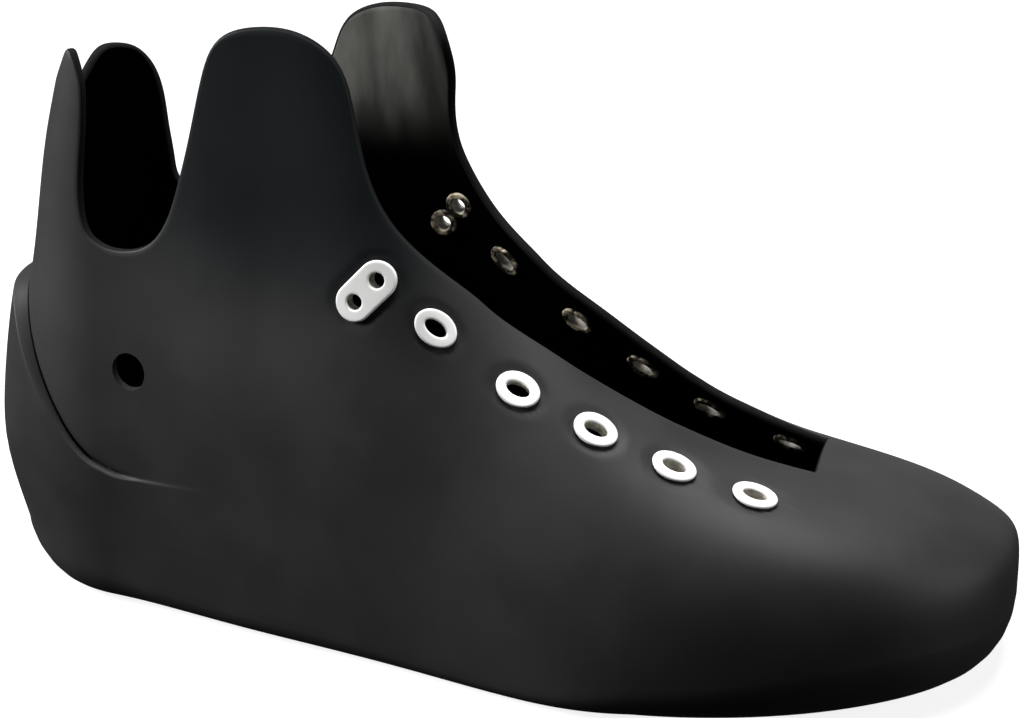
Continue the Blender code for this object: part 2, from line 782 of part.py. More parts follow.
def main():
    for old in list(bpy.data.objects):
        bpy.data.objects.remove(old, do_unlink=True)
    black = material("black_moulded_plastic", (0.028, 0.029, 0.031), 0.5, 0.0)
    white = material("white_lacquered_metal", (0.85, 0.85, 0.84), 0.3, 0.0)

    shell = make_object("shell", make_mesh("shell", shell_mesh()), black)
    cut(shell, make_object("shell_holes", make_mesh("shell_holes", hole_cutters()), None), "DIFFERENCE")

    for side, word in ((1, "outer"), (-1, "inner")):
        for i, (place, matrix) in enumerate(eyelet_seats(side)):
            eyelet = bent(eyelet_shape(), matrix, *place)
            make_object(f"eyelet_{word}_{i + 1}", make_mesh("eyelet", eyelet), white, matrix)
        place, matrix, half_spacing = plate_seat(side)
        plate, posts, bores = plate_shapes(half_spacing)
        plate = make_mesh("lace_plate", bent(plate, matrix, *place))
        posts = make_mesh("posts", bent(posts, matrix, *place))
        lace_plate = make_object(f"lace_plate_{word}", plate, white, matrix)
        cut(lace_plate, make_object(f"posts_{word}", posts, None, matrix), "UNION")
        cut(lace_plate, make_object(f"bores_{word}", make_mesh("bores", bores), None, matrix), "DIFFERENCE")


main()
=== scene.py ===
# %% [markdown]
# # A moulded boot shell for an inline skate
# The real object is one black plastic moulding, a right boot, open at the throat and round the ankle, with
# white set eyelets along the throat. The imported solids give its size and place. This lesson lays a finer skin
# over them, sets finer eyelets in it, and gives each piece its finish.

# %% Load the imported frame
import math

import bmesh
import bpy
import numpy as np
from mathutils import Matrix
from mathutils.kdtree import KDTree


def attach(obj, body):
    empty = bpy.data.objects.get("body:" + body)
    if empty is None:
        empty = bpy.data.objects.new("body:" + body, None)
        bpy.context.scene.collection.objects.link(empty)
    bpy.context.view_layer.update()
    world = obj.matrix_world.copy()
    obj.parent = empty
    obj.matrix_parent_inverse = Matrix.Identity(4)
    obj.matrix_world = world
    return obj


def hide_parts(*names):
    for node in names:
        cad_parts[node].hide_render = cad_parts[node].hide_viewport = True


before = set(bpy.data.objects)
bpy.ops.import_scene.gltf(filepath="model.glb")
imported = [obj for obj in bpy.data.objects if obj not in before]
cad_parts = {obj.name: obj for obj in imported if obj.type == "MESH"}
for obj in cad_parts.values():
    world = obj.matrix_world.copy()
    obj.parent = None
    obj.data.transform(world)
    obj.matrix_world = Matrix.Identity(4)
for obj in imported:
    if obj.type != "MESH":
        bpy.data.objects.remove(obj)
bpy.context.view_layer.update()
MM = 0.001
MIDDLE = 146.0

# %% [markdown]
# ## Camera
# The photograph looks at the outer side from the front quarter and from above, with a long lens. The camera
# comes first, because every later step is judged through it. Its direction is two angles; its place is the
# point it aims at plus the distance along that direction.

# %% Camera
IMAGE_WIDTH = 1024
AZIMUTH, ELEVATION, ROLL = np.radians([16.65, 20.55, -0.18])
AIM = np.array([0.0061, -0.0012, 0.0754])
DISTANCE = 0.6866
FOCAL_PIXELS = 2358.0


def placed(name, data):
    """New object with this data, linked to the scene."""
    made = bpy.data.objects.new(name, data)
    bpy.context.scene.collection.objects.link(made)
    return made


def placing(directions, place):
    """Matrix with three directions as its columns and a place."""
    matrix = np.eye(4)
    matrix[:3, :3] = np.stack(directions, -1)
    matrix[:3, 3] = place
    return matrix


outwards = math.cos(ELEVATION)
back = np.array([math.sin(AZIMUTH) * outwards, -math.cos(AZIMUTH) * outwards, math.sin(ELEVATION)])
level = np.array([math.cos(AZIMUTH), math.sin(AZIMUTH), 0.0])
upright = np.cross(back, level)
right = level * math.cos(ROLL) + upright * math.sin(ROLL)
up = upright * math.cos(ROLL) - level * math.sin(ROLL)
view = placing([right, up, back], AIM + back * DISTANCE)

lens = bpy.data.cameras.new("studio_camera")
lens.sensor_fit = "HORIZONTAL"
lens.sensor_width = 36.0
lens.lens = FOCAL_PIXELS * lens.sensor_width / IMAGE_WIDTH
camera = placed("studio_camera", lens)
camera.matrix_world = Matrix(view.tolist())
bpy.context.scene.camera = camera
print("lens:", round(lens.lens, 1), "mm, eye:", np.round(view[:3, 3], 3).tolist())

# %% [markdown]
# ## Curves through chosen sizes
# A mould maker draws a few sections by hand and lets a spline run through them. Here short tables hold the
# chosen sizes, and one cubic curve runs through each column. Its bend is continuous, so gloss flows over the
# surface with no kink at a table row.

# %% Smooth curves
def smooth(stations, values):
    """Cubic pieces between the stations that share value, slope and bend, and end level."""
    stations, values = np.array(stations, float), np.array(values, float)
    gaps = np.diff(stations)
    inner = np.arange(1, len(stations) - 1)
    weights = np.eye(len(stations))
    weights[inner, inner - 1] = 1 / gaps[:-1]
    weights[inner, inner] = 2 / gaps[:-1] + 2 / gaps[1:]
    weights[inner, inner + 1] = 1 / gaps[1:]
    pull = np.zeros(len(stations))
    rate = np.diff(values) / gaps ** 2
    pull[1:-1] = 3 * (rate[:-1] + rate[1:])
    slopes = np.linalg.solve(weights, pull)

    def at(place):
        place = np.clip(place, stations[0], stations[-1])
        i = np.clip(np.searchsorted(stations, place) - 1, 0, len(gaps) - 1)
        t = (place - stations[i]) / gaps[i]
        start = (1 + 2 * t) * (1 - t) ** 2 * values[i] + t * (1 - t) ** 2 * gaps[i] * slopes[i]
        end = t * t * (3 - 2 * t) * values[i + 1] + t * t * (t - 1) * gaps[i] * slopes[i + 1]
        return start + end
    return at


def table_curves(table):
    """One smooth curve over the first column for every other column."""
    columns = np.array(table, float).T
    return [smooth(columns[0], values) for values in columns[1:]]


def ease(t):
    """Smooth step: three t squared less two t cubed, held at 0 and 1."""
    t = np.clip(t, 0, 1)
    return t * t * (3 - 2 * t)


print("halfway up a step:", float(ease(0.5)))

# %% [markdown]
# ## The foot form
# The wall is a function of two values, in millimetres and radians. Girth runs round the foot from the centre
# of the back, positive along the outer side. Rise turns from the foot of the wall to the ridge over the foot.
# In plan the wall is a rounded heel, two straight runs and a rounded toe; in section it is a rounded arch. A
# superellipse gives both, because one power sets how square the curve is: soft at the ankle, boxy at the toe.

# %% Sizes of the foot form
TOE_TIP, HEEL_CENTRE, BALL = 300.5, 38.0, 205.0
HEEL_GIRTH, TOE_GIRTH = 60.0, 115.0
BALL_GIRTH = HEEL_GIRTH + BALL - HEEL_CENTRE
HALF_GIRTH = BALL_GIRTH + TOE_GIRTH
HEEL_POWER, TOE_POWER = 2.3, 2.45
SIDE_BOW = 9.0
ANKLE_FRONT, ANKLE_FADE = 150.0, 60.0
INNER_DROP, DROP_START, DROP_RUN, DROP_SOFT = 0.148, 190.0, 48.0, 0.25

# Half widths of the plan: station, outer side, inner side
outer_half, inner_half = table_curves((
    (38, 37.0, 36.0), (80, 42.5, 37.0), (125, 49.0, 40.0), (165, 57.0, 43.0), (205, 63.5, 45.0),
))
# Ridge over the foot, had the wall closed there: station, height
RIDGE = np.array((
    (0, 700), (60, 520), (100, 315), (125, 200), (150, 126), (175, 99),
    (205, 74.3), (230, 62), (255, 55.5), (280, 49), (300, 44),
))
ridge_log = smooth(RIDGE[:, 0], np.log(RIDGE[:, 1]))
# Power of the section: girth, power
squareness, = table_curves((
    (0, 2.4), (120, 2.35), (190, 2.4), (227, 2.9), (270, 4.7), (310, 7.4), (342, 11),
))
# Up the ankle: height, share of the width, reach behind the heel centre
ankle_share, heel_reach = table_curves((
    (0, 1.0, 31.0), (20, 1.0, 36.0), (40, 0.995, 42.0), (60, 0.985, 41.0), (85, 0.935, 36.4),
    (98, 0.9, 33.2), (110, 0.873, 30.7), (140, 0.848, 24.1), (165, 0.833, 15.8), (185, 0.83, 12.0),
))
print("half girth:", HALF_GIRTH, "mm, ball width:", float(outer_half(BALL) + inner_half(BALL)), "mm")


# %% The wall as a function of girth and rise
def mid_line(x):
    """Sideways place of the foot's middle: a parabola bowed towards the outer side."""
    share = x / TOE_TIP
    return -SIDE_BOW * 4 * share * (1 - share)


def wrapped(girth):
    """Girth counted from the back, also where it was counted on past the toe."""
    past_toe = np.abs(girth) > HALF_GIRTH
    return np.where(past_toe, girth - np.sign(girth) * 2 * HALF_GIRTH, girth)


def wall(girth, rise):
    """Cosine and sine of rise, each to a power, spread a section over a plan that is drawn the same way."""
    girth = wrapped(girth)
    side = np.where(girth >= 0, -1.0, 1.0)
    along = np.abs(girth)
    across = np.cos(rise) ** (2 / squareness(along))
    up = np.sin(rise) ** (2 / squareness(along))
    heel_turn = 0.5 * math.pi * np.clip(along / HEEL_GIRTH, 0, 1)
    toe_turn = 0.5 * math.pi * np.clip((along - BALL_GIRTH) / TOE_GIRTH, 0, 1)
    station = HEEL_CENTRE + np.clip(along - HEEL_GIRTH, 0, BALL - HEEL_CENTRE)
    half = np.where(side < 0, outer_half(station), inner_half(station))
    rear = np.cos(heel_turn) ** (2 / HEEL_POWER)
    front = np.sin(toe_turn) ** (2 / TOE_POWER)
    x_front = station + (TOE_TIP - BALL) * across * front
    y_share = np.sin(heel_turn) ** (2 / HEEL_POWER) * np.cos(toe_turn) ** (2 / TOE_POWER)
    inward = np.where(side > 0, across * y_share, 0.0)
    fall = INNER_DROP * ease((x_front - DROP_START) / DROP_RUN) * inward ** 2 / (inward + DROP_SOFT)
    z = np.exp(ridge_log(x_front - HEEL_CENTRE * rear)) * up * (1 - fall)
    x = x_front - heel_reach(z) * across * rear
    narrowing = ease((ANKLE_FRONT - x) / ANKLE_FADE) * (1 - ankle_share(z))
    y = mid_line(x) + side * half * (1 - narrowing) * across * y_share
    return np.stack([x, y, z], -1)


def unit(vectors):
    """Each vector divided by its own length."""
    return vectors / np.linalg.norm(vectors, axis=-1, keepdims=True)


def wall_normal(girth, rise):
    """Cross product of a small step along girth and a small step along rise."""
    d_girth, d_rise = 0.25, 0.004
    along = wall(girth + d_girth, rise) - wall(girth - d_girth, rise)
    up = wall(girth, rise + d_rise) - wall(girth, np.maximum(rise - d_rise, 1e-4))
    return unit(np.cross(along, up))


print("toe tip:", np.round(wall(np.array(HALF_GIRTH), np.array(0.0)), 1).tolist())


# %% Finding a height on the wall
def rise_where(girth, measure, target):
    """Halves the range of rise forty times, keeping the half where the measure passes its target."""
    low = np.full(np.shape(girth), 0.001)
    high = np.full(np.shape(girth), 0.5 * math.pi - 0.001)
    for _ in range(40):
        middle = 0.5 * (low + high)
        short = measure(wall(girth, middle)) < target
        low = np.where(short, middle, low)
        high = np.where(short, high, middle)
    return 0.5 * (low + high)


def rise_at_height(girth, height):
    """Rise at which the wall reaches a height."""
    return rise_where(girth, lambda point: point[..., 2], height)


def on_wall(girth, height):
    """Point of the wall at a girth and a height."""
    return wall(girth, rise_at_height(np.asarray(girth, float), height))


print("ankle point:", np.round(on_wall(120.0, 100.0), 1).tolist())

# %% [markdown]
# ## The upper edge
# The edge of the shell starts at the front of the throat, climbs beside the instep, goes round the ankle
# wing, down into the notch behind it, over the heel tab, and back along the inner side. A trimmed edge like
# this is chosen point by point from the photograph, then one smooth line runs through the points. Beside the
# throat that line is drawn in plan, because the wall is nearly level there.

# %% Points of the upper edge
# Throat: outer side and inner side, each with station and distance from the foot's middle
THROAT = (
    ((245, 12.8), (243.5, 18)), ((237, 14), (233, 20.5)), ((224, 16.5), (219, 24.8)),
    ((209, 19.9), (205, 27.4)), ((194, 24.2), (193, 26.7)), ((181, 27.3), (181, 25.7)),
    ((168, 28.5), (168, 25)), ((155, 29.7), (156, 24.6)),
)
# Collar: outer side and inner side, each with girth and height
COLLAR = (
    ((166.3, 114.8), (166.3, 111.6)), ((154, 127.2), (156, 125.3)), ((148, 137), (152.5, 133.5)),
    ((144.3, 148), (152, 147)), ((142, 158), (154, 160.3)), ((137, 170.5), (151.2, 170.8)),
    ((127.4, 176.8), (139.5, 174.2)), ((114, 177.7), (127, 172.8)), ((103.4, 173.8), (118.5, 168)),
    ((97.3, 162), (114, 159)), ((93, 146), (106.5, 143.5)), ((88.6, 131.5), (97, 129)),
    ((83, 118.4), (88, 118.5)), ((78.5, 113.3), (81, 113.5)), ((69.7, 110), (72, 110.5)),
    ((61.8, 110.8), (63.5, 110.5)), ((57.2, 114.6), (58.8, 114)), ((55.3, 120.5), (57.5, 120)),
    ((56.3, 141), (55.5, 132)), ((57.2, 154), (52.4, 143.6)), ((55.7, 159.3), (46.5, 150.2)),
    ((45, 166.2), (36, 155)), ((36.5, 162), (24, 157.2)), ((20, 152.5), (11, 157.2)),
)
BACK_HEIGHT = 147.5
# Points of the curve through the throat's places, on each side
THROAT_POINTS = 29
# Which points, counted from the front of the throat, are corners of the shape
CORNERS = {
    "throat corner": 0, "wing root": 30, "wing front": 34, "wing rear": 37,
    "notch root": 41, "tab root": 45, "tab corner": 49,
}


def throat_place(x, opening, half_width):
    """Girth and rise of the wall at a place along the foot and a distance from the foot's middle."""
    forward = max(x - BALL, 0) / (TOE_TIP - BALL)
    sideways = opening / half_width(min(x, BALL))
    across = (forward ** TOE_POWER + sideways ** TOE_POWER) ** (1 / TOE_POWER)
    turn = math.atan2(forward ** (0.5 * TOE_POWER), sideways ** (0.5 * TOE_POWER))
    girth = HEEL_GIRTH + min(x, BALL) - HEEL_CENTRE + TOE_GIRTH * turn / (0.5 * math.pi)
    return girth, math.acos(across ** (0.5 * squareness(girth)))


def rim_side(side):
    """Girths and rises of one side's edge, from the front of the throat to the back."""
    pick = 0 if side > 0 else 1
    half_width = outer_half if side > 0 else inner_half
    places = np.array([row[pick] for row in THROAT], float)
    numbers = np.arange(len(places))
    fine = np.linspace(0, numbers[-1], THROAT_POINTS)
    stations, openings = [smooth(numbers, values)(fine) for values in places.T]
    throat = np.array([throat_place(*place, half_width) for place in zip(stations, openings)])
    collar = np.array([row[pick] for row in COLLAR], float)
    girths = side * np.concatenate([throat[:, 0], collar[:, 0]])
    rises = np.concatenate([throat[:, 1], rise_at_height(side * collar[:, 0], collar[:, 1])])
    return girths, rises


outer_girths, outer_rises = rim_side(1)
inner_girths, inner_rises = rim_side(-1)
rim_girths = np.concatenate([outer_girths, [0.0], inner_girths[::-1]])
rim_rises = np.concatenate([outer_rises, [rise_at_height(np.array(0.0), BACK_HEIGHT)], inner_rises[::-1]])
rim_points = wall(rim_girths, rim_rises)
rim_run = np.concatenate([[0], np.cumsum(np.linalg.norm(np.diff(rim_points, axis=0), axis=1))])
rim_curves = [smooth(rim_run, values) for values in (rim_girths, rim_points[:, 2], rim_rises)]
print("edge length:", round(float(rim_run[-1])), "mm")


# %% Stretches of the edge and patches between them
def rim_stretch(start, end, steps):
    """Girths, heights and rises of even steps along the edge; a corner is a side, 1 or -1, and a name."""
    numbers = [CORNERS[name] if side > 0 else -1 - CORNERS[name] for side, name in (start, end)]
    run = np.linspace(*rim_run[numbers], steps + 1)
    return np.stack([curve(run) for curve in rim_curves], -1)


def straight(start, end, steps):
    """Even steps from one point to another."""
    return start + (end - start) * np.linspace(0, 1, steps + 1)[:, None]


def patch(bottom, top, left, right):
    """Coons patch: the blend of two sides plus the blend of two ends, less the blend of the corners."""
    u = np.linspace(0, 1, len(bottom))[None, :, None]
    v = np.linspace(0, 1, len(left))[:, None, None]
    sides = (1 - u) * left[:, None] + u * right[:, None]
    ends = (1 - v) * bottom[None] + v * top[None]
    corners = (1 - v) * ((1 - u) * bottom[0] + u * bottom[-1]) + v * ((1 - u) * top[0] + u * top[-1])
    return sides + ends - corners


THROAT_STEPS, FRONT_STEPS, WING_STEPS, NOTCH_STEPS, TAB_STEPS = 84, 48, 48, 28, 72
WING_ROWS, TAB_ROWS = 28, 26
# Stretches of the outer edge; the inner edge has the same ones, met in the other order
STRETCHES = (
    ("throat corner", "wing root", THROAT_STEPS), ("wing root", "wing front", WING_ROWS),
    ("wing front", "wing rear", WING_STEPS), ("wing rear", "notch root", WING_ROWS),
    ("notch root", "tab root", NOTCH_STEPS), ("tab root", "tab corner", TAB_ROWS),
)
throat, wing_front, wing_top, wing_rear, notch, tab_side = [
    rim_stretch((1, start), (1, end), steps) for start, end, steps in STRETCHES]
far_throat, far_wing_front, far_wing_top, far_wing_rear, far_notch, far_tab_side = [
    rim_stretch((-1, end), (-1, start), steps) for start, end, steps in STRETCHES]
tab_top = rim_stretch((1, "tab corner"), (-1, "tab corner"), TAB_STEPS)
wing_base = straight(throat[-1], notch[0], WING_STEPS)
tab_base = straight(notch[-1], far_notch[0], TAB_STEPS)
far_wing_base = straight(far_notch[-1], far_throat[0], WING_STEPS)
print("steps along the outer throat:", len(throat) - 1)

# %% [markdown]
# ## Eyelet seats
# Each eyelet sits flat on the wall, with its long axis along the row. A seat is a little frame of three
# directions: along the row, across it, and straight out of the wall. Seats are found before the skin, because
# the moulding has a shallow dish round every eyelet.

# %% Eyelet seats
# Eyelets from the top of the throat to its front: outer side and inner side, each with girth and height
EYELETS = (
    ((166.7, 100.5), (167.5, 99.5)), ((189.8, 85.1), (189.5, 83.7)), ((211.3, 75.4), (209, 70.5)),
    ((231.3, 66), (228, 58.7)), ((257, 59.2), (248, 50.4)),
)
# The two holes of the top lace plate: outer side and inner side
PLATE_HOLES = (((150.6, 113), (151.9, 114.4)), ((144.4, 106.6), (146.8, 108.3)))


def side_places(table, side):
    """Signed girths and heights of one side's places."""
    pick = 0 if side > 0 else 1
    return np.array([(side * row[pick][0], row[pick][1]) for row in table], float)


def seat(place, towards):
    """Matrix with columns along the row, across it and out of the wall, and the wall point as its place."""
    rise = rise_at_height(np.array(place[0]), place[1])
    origin = wall(place[0], rise)
    out = wall_normal(place[0], rise)
    length = on_wall(*towards) - origin
    length = unit(length - out * (length @ out))
    return placing([length, np.cross(out, length), out], origin)


eyelet_seats = []
plate_seats = []
for side, word in ((1, "outer"), (-1, "inner")):
    places = side_places(EYELETS, side)
    neighbours = np.concatenate([places[1:], places[-2:-1]])
    for i in range(len(places)):
        eyelet_seats.append((f"{word}_{i + 1}", places[i], seat(places[i], neighbours[i])))
    holes = side_places(PLATE_HOLES, side)
    plate_middle = holes.mean(axis=0)
    spacing = np.linalg.norm(on_wall(*holes[0]) - on_wall(*holes[1]))
    plate_seats.append((word, plate_middle, seat(plate_middle, holes[0]), 0.5 * spacing))
print("eyelets:", len(eyelet_seats), "plates:", len(plate_seats))

# %% [markdown]
# ## Relief of the outer face
# Two things stand out of the plain wall. Round the heel a cup stands proud, with a narrow groove along its
# edge that reads as a dark line. Round each eyelet a shallow dish lets the flange sit low. Both are distances
# along the wall's normal, so they can be added to any grid of wall points.

# %% Relief of the outer face
# Heel cup: girth, height of its edge, height of its ledge, how far it stands proud
cup_edge, cup_ledge, cup_proud = table_curves((
    (0, 94, 3.0, 4.5), (12, 93.5, 3.0, 4.5), (21, 90.5, 2.5, 4.2), (31, 81, 2.0, 3.4),
    (40, 69.5, 1.6, 2.8), (48, 58.5, 1.4, 2.2), (54, 50.5, 1.4, 1.6), (61, 45, 1.9, 1.1),
    (70, 43.8, 2.6, 0.6), (80, 44.5, 3.2, 0.3), (90, 45.5, 3.7, 0.1), (100, 46.5, 4.2, 0.0),
    (110, 46.6, 4.8, 0.0), (125, 46, 5.8, 0.0), (160, 44, 8.0, 0.0), (227, 36, 8.0, 0.0), (342, 31, 6.0, 0.0),
))
# Across the ledge, from the cup up to the wall: share, part of the proud height left, part of the groove
LEDGE = np.array((
    (0.0, 1.0, 0.0), (0.08, 0.99, 0.0), (0.15, 0.95, 0.0), (0.22, 0.83, 0.05), (0.3, 0.55, 0.35),
    (0.38, 0.25, 0.75), (0.46, 0.06, 1.0), (0.58, 0.0, 1.0), (0.72, 0.0, 0.6), (0.86, 0.0, 0.15),
    (1.0, 0.0, 0.0),
))
# The groove is full where the cup stands 1.5 proud and gone at 0.5; it takes room below and above the edge
GROOVE_DEPTH, GROOVE_START, GROOVE_BELOW, GROOVE_ABOVE = 1.2, 0.5, 1.6, 0.6
# Where the ledge gets painted shade: girth, first row of painted shade; the line thins out along the cup
DARK_ROWS = np.array(((58, 5), (70, 8)))
DARK_END = 8
# Dishes: depth, reach in flange sizes, and how far from its wall point a flange still counts
DISH_DEPTH, DISH_INNER, DISH_OUTER, DISH_NEAR = 0.7, 1.08, 1.45, 8
FLANGE = (6.3, 4.75)
PLATE_HALF = (10.1, 5.4)


def dish(points):
    """Depth below the wall: a smooth step of the distance to the nearest flange, measured in flange sizes."""
    depth = np.zeros(points.shape[:-1])
    half_length, radius = PLATE_HALF
    seats = [(matrix, FLANGE, 0.0) for _, _, matrix in eyelet_seats]
    seats += [(matrix, (radius, radius), half_length - radius) for _, _, matrix, _ in plate_seats]
    for matrix, halves, straight_half in seats:
        local = (points - matrix[:3, 3]) @ matrix[:3, :3]
        along = np.maximum(np.abs(local[..., 0]) - straight_half, 0)
        reach = np.sqrt((along / halves[0]) ** 2 + (local[..., 1] / halves[1]) ** 2)
        near = np.abs(local[..., 2]) < DISH_NEAR
        depth = np.maximum(depth, near * ease((DISH_OUTER - reach) / (DISH_OUTER - DISH_INNER)))
    return DISH_DEPTH * depth


print("groove depth:", GROOVE_DEPTH, "mm, dish depth:", DISH_DEPTH, "mm")

# %% [markdown]
# ## The shell's skin
# The moulding has one outer and one inner face, numbered alike, 2.8 mm apart. A belt of columns goes all the
# way round below wings and tab: first the rounded bottom edge, then the heel cup, its ledge and the side. The
# wings and the tab are patches that stand on the belt. A solidify modifier could make the wall, but it would
# not keep the floor flat or round the edge evenly, so both faces are computed.

# %% Columns of the belt
WALL, FLOOR = 2.8, 4.0
EDGE_ROWS, CUP_ROWS, SIDE_ROWS, ROUND_ROWS = 8, 16, 44, 6
# Round of the bottom edge: girth, radius
bottom_radius, = table_curves((
    (0, 22), (30, 15.5), (60, 8.5), (110, 6.5), (165, 4.6), (205, 5), (240, 13), (285, 20.5), (342, 18.5),
))

belt_pieces = [throat, wing_base, notch, tab_base, far_notch, far_wing_base, far_throat]
belt = np.concatenate([piece[:-1] for piece in belt_pieces] + [far_throat[-1:]])
front_girths = np.linspace(far_throat[-1, 0], throat[0, 0] - 2 * HALF_GIRTH, FRONT_STEPS + 1)[1:-1]
girths = wrapped(np.concatenate([belt[:, 0], front_girths]))
along = np.abs(girths)

belt_rises = rise_at_height(belt[:, 0], belt[:, 1])
belt_rises[:len(throat)] = throat[:, 2]
belt_rises[-len(far_throat):] = far_throat[:, 2]
corner, far_corner = wall(belt[[0, -1], 0], belt_rises[[0, -1]])
slant = (far_corner[0] - corner[0]) / (far_corner[1] - corner[1])
front_reach = slant * corner[1] - corner[0]
front_rises = rise_where(front_girths, lambda point: slant * point[..., 1] - point[..., 0], front_reach)
top_rises = np.concatenate([belt_rises, front_rises])
starts = np.cumsum([0] + [len(piece) - 1 for piece in belt_pieces])
print("belt columns:", len(girths))


# %% Rows of the belt
def edge_rows(girths, turns):
    """Quarter circles between sole and wall, outside and inside, and the rise at which they end."""
    radius = bottom_radius(np.abs(girths))
    rises = rise_at_height(girths, radius)
    foot = wall(girths, rises)
    normals = wall_normal(girths, rises)
    normals[:, 2] = 0
    normals = unit(normals)
    inset = radius * (1 - np.sin(turns))[:, None]
    outer = foot - normals * (inset - cup_proud(np.abs(girths)))[..., None]
    outer[..., 2] = radius * (1 - np.cos(turns))[:, None]
    small = radius - WALL
    inner = foot - normals * (WALL + small * (1 - np.sin(turns))[:, None])[..., None]
    inner[..., 2] = radius - (small - (FLOOR - WALL)) * np.cos(turns)[:, None]
    return outer, inner, rises


def wall_rows(girths, rises, proud):
    """Outer points raised by a distance along the normal less the dishes, and inner points a wall below."""
    girths = np.broadcast_to(girths, rises.shape)
    points = wall(girths, rises)
    normals = wall_normal(girths, rises)
    lift = proud - dish(points)
    return points + normals * lift[..., None], points - normals * WALL


edge_outer, edge_inner, edge_rises = edge_rows(girths, np.linspace(0, 0.5 * math.pi, EDGE_ROWS + 1)[:-1])
groove_fade = np.clip(cup_proud(along) - GROOVE_START, 0, 1)
ledge_height = cup_ledge(along) + GROOVE_BELOW * groove_fade
ledge_foot = rise_at_height(girths, cup_edge(along) - ledge_height)
ledge_top = rise_at_height(girths, cup_edge(along) + GROOVE_ABOVE * groove_fade)
cup_share = np.linspace(0, 1, CUP_ROWS + 1)[:-1, None]
side_share = np.linspace(0, 1, SIDE_ROWS + 1)[1:, None]
rises = np.concatenate([
    edge_rises + (ledge_foot - edge_rises) * cup_share,
    ledge_foot + (ledge_top - ledge_foot) * LEDGE[:, :1],
    ledge_top + (top_rises - ledge_top) * side_share,
])
proud = np.concatenate([
    np.broadcast_to(cup_proud(along), (CUP_ROWS, len(girths))),
    cup_proud(along) * LEDGE[:, 1:2] - GROOVE_DEPTH * groove_fade * LEDGE[:, 2:],
    np.zeros((SIDE_ROWS, len(girths))),
])
side_outer, side_inner = wall_rows(girths, rises, proud)
belt_outer = np.concatenate([edge_outer, side_outer])
belt_inner = np.concatenate([edge_inner, side_inner])
print("belt rows:", len(belt_outer))


# %% Wings and tab on the belt
def grid_quads(numbers):
    """Four neighbours of a grid of vertex numbers, wound so that the outer face looks out."""
    low, high = numbers[:-1], numbers[1:]
    return np.stack([low[:, :-1], high[:, :-1], high[:, 1:], low[:, 1:]], -1).reshape(-1, 4)


outer_blocks, inner_blocks = [belt_outer.reshape(-1, 3)], [belt_inner.reshape(-1, 3)]
belt_numbers = np.arange(belt_outer[..., 0].size).reshape(belt_outer.shape[:2])
quads = [grid_quads(np.concatenate([belt_numbers, belt_numbers[:, :1]], axis=1))]
top_row = belt_numbers[-1]
count = belt_numbers.size
free_edges = []
for start, grid in (
    (1, patch(wing_base, wing_top, wing_front, wing_rear[::-1])),
    (3, patch(tab_base, tab_top, tab_side, far_tab_side[::-1])),
    (5, patch(far_wing_base, far_wing_top, far_wing_rear, far_wing_front[::-1])),
):
    above = grid[1:]
    above_rises = rise_at_height(above[..., 0], above[..., 1])
    outer, inner = wall_rows(above[..., 0], above_rises, np.zeros(above_rises.shape))
    numbers = count + np.arange(above_rises.size).reshape(above_rises.shape)
    count += above_rises.size
    outer_blocks.append(outer.reshape(-1, 3))
    inner_blocks.append(inner.reshape(-1, 3))
    numbers = np.concatenate([top_row[None, starts[start]:starts[start + 1] + 1], numbers])
    quads.append(grid_quads(numbers))
    free_edges.append(np.concatenate([numbers[1:, 0], numbers[-1, 1:], numbers[-2:0:-1, -1]]))
outer_points = np.concatenate(outer_blocks)
inner_points = np.concatenate(inner_blocks)
rim = np.concatenate([
    top_row[starts[0]:starts[1] + 1], free_edges[0], top_row[starts[2]:starts[3] + 1], free_edges[1],
    top_row[starts[4]:starts[5] + 1], free_edges[2], top_row[starts[6]:],
])
print("points of one face:", count, "points of the edge:", len(rim))

# %% [markdown]
# ## Sole, floor and rounded edge
# Flat strips close the sole below and the floor inside. Along the upper edge the two faces meet in a half
# round, as a trimmed and flamed edge does. To keep the boot's outline, both faces first draw back a little from
# the trimmed line, most at the edge and not at all a few millimetres below it. The round itself and the groove
# over the heel cup get painted shade, a near black finish, so their quads get a number of their own.

# %% Sole, floor and rounded edge
ROUND_HEIGHT = 0.9
DRAW_BACK = 0.4
DRAW_BACK_RUN = 6.0
ring = np.roll(belt_numbers[0], -(starts[3] + TAB_STEPS // 2))
half_count = len(ring) // 2
left, right = ring[:half_count], ring[::-1][:half_count]
quads.append(np.stack([right[:-1], left[:-1], left[1:], right[1:]], -1))
face_quads = np.concatenate(quads)

edge_out, edge_in = outer_points[rim], inner_points[rim]
middle, half_wall = 0.5 * (edge_out + edge_in), 0.5 * (edge_out - edge_in)
rim_ahead = np.roll(middle, -1, axis=0) - np.roll(middle, 1, axis=0)
swell = unit(np.cross(rim_ahead, half_wall))
swell *= np.sign(swell[:, 2].sum())
rim_tree = KDTree(len(rim))
for i in range(len(rim)):
    rim_tree.insert(edge_out[i], i)
rim_tree.balance()
_, nearest, distance = zip(*[rim_tree.find(point) for point in outer_points])
draw_back = DRAW_BACK * ease(1 - np.array(distance) / DRAW_BACK_RUN)[:, None] * swell[list(nearest)]
outer_points -= draw_back
inner_points -= draw_back
middle -= DRAW_BACK * swell
turns = np.linspace(0, math.pi, ROUND_ROWS + 1)[1:-1, None, None]
round_points = middle + half_wall * np.cos(turns) + swell * ROUND_HEIGHT * np.sin(turns)
round_numbers = 2 * count + np.arange(round_points[..., 0].size).reshape(round_points.shape[:2])
round_numbers = np.concatenate([rim[None], round_numbers, rim[None] + count])
closed = np.concatenate([round_numbers, round_numbers[:, :1]], axis=1)
shell_points = np.concatenate([outer_points, inner_points, round_points.reshape(-1, 3)])
shell_quads = np.concatenate([face_quads, face_quads[:, ::-1] + count, grid_quads(closed)])
print("shell quads:", len(shell_quads))

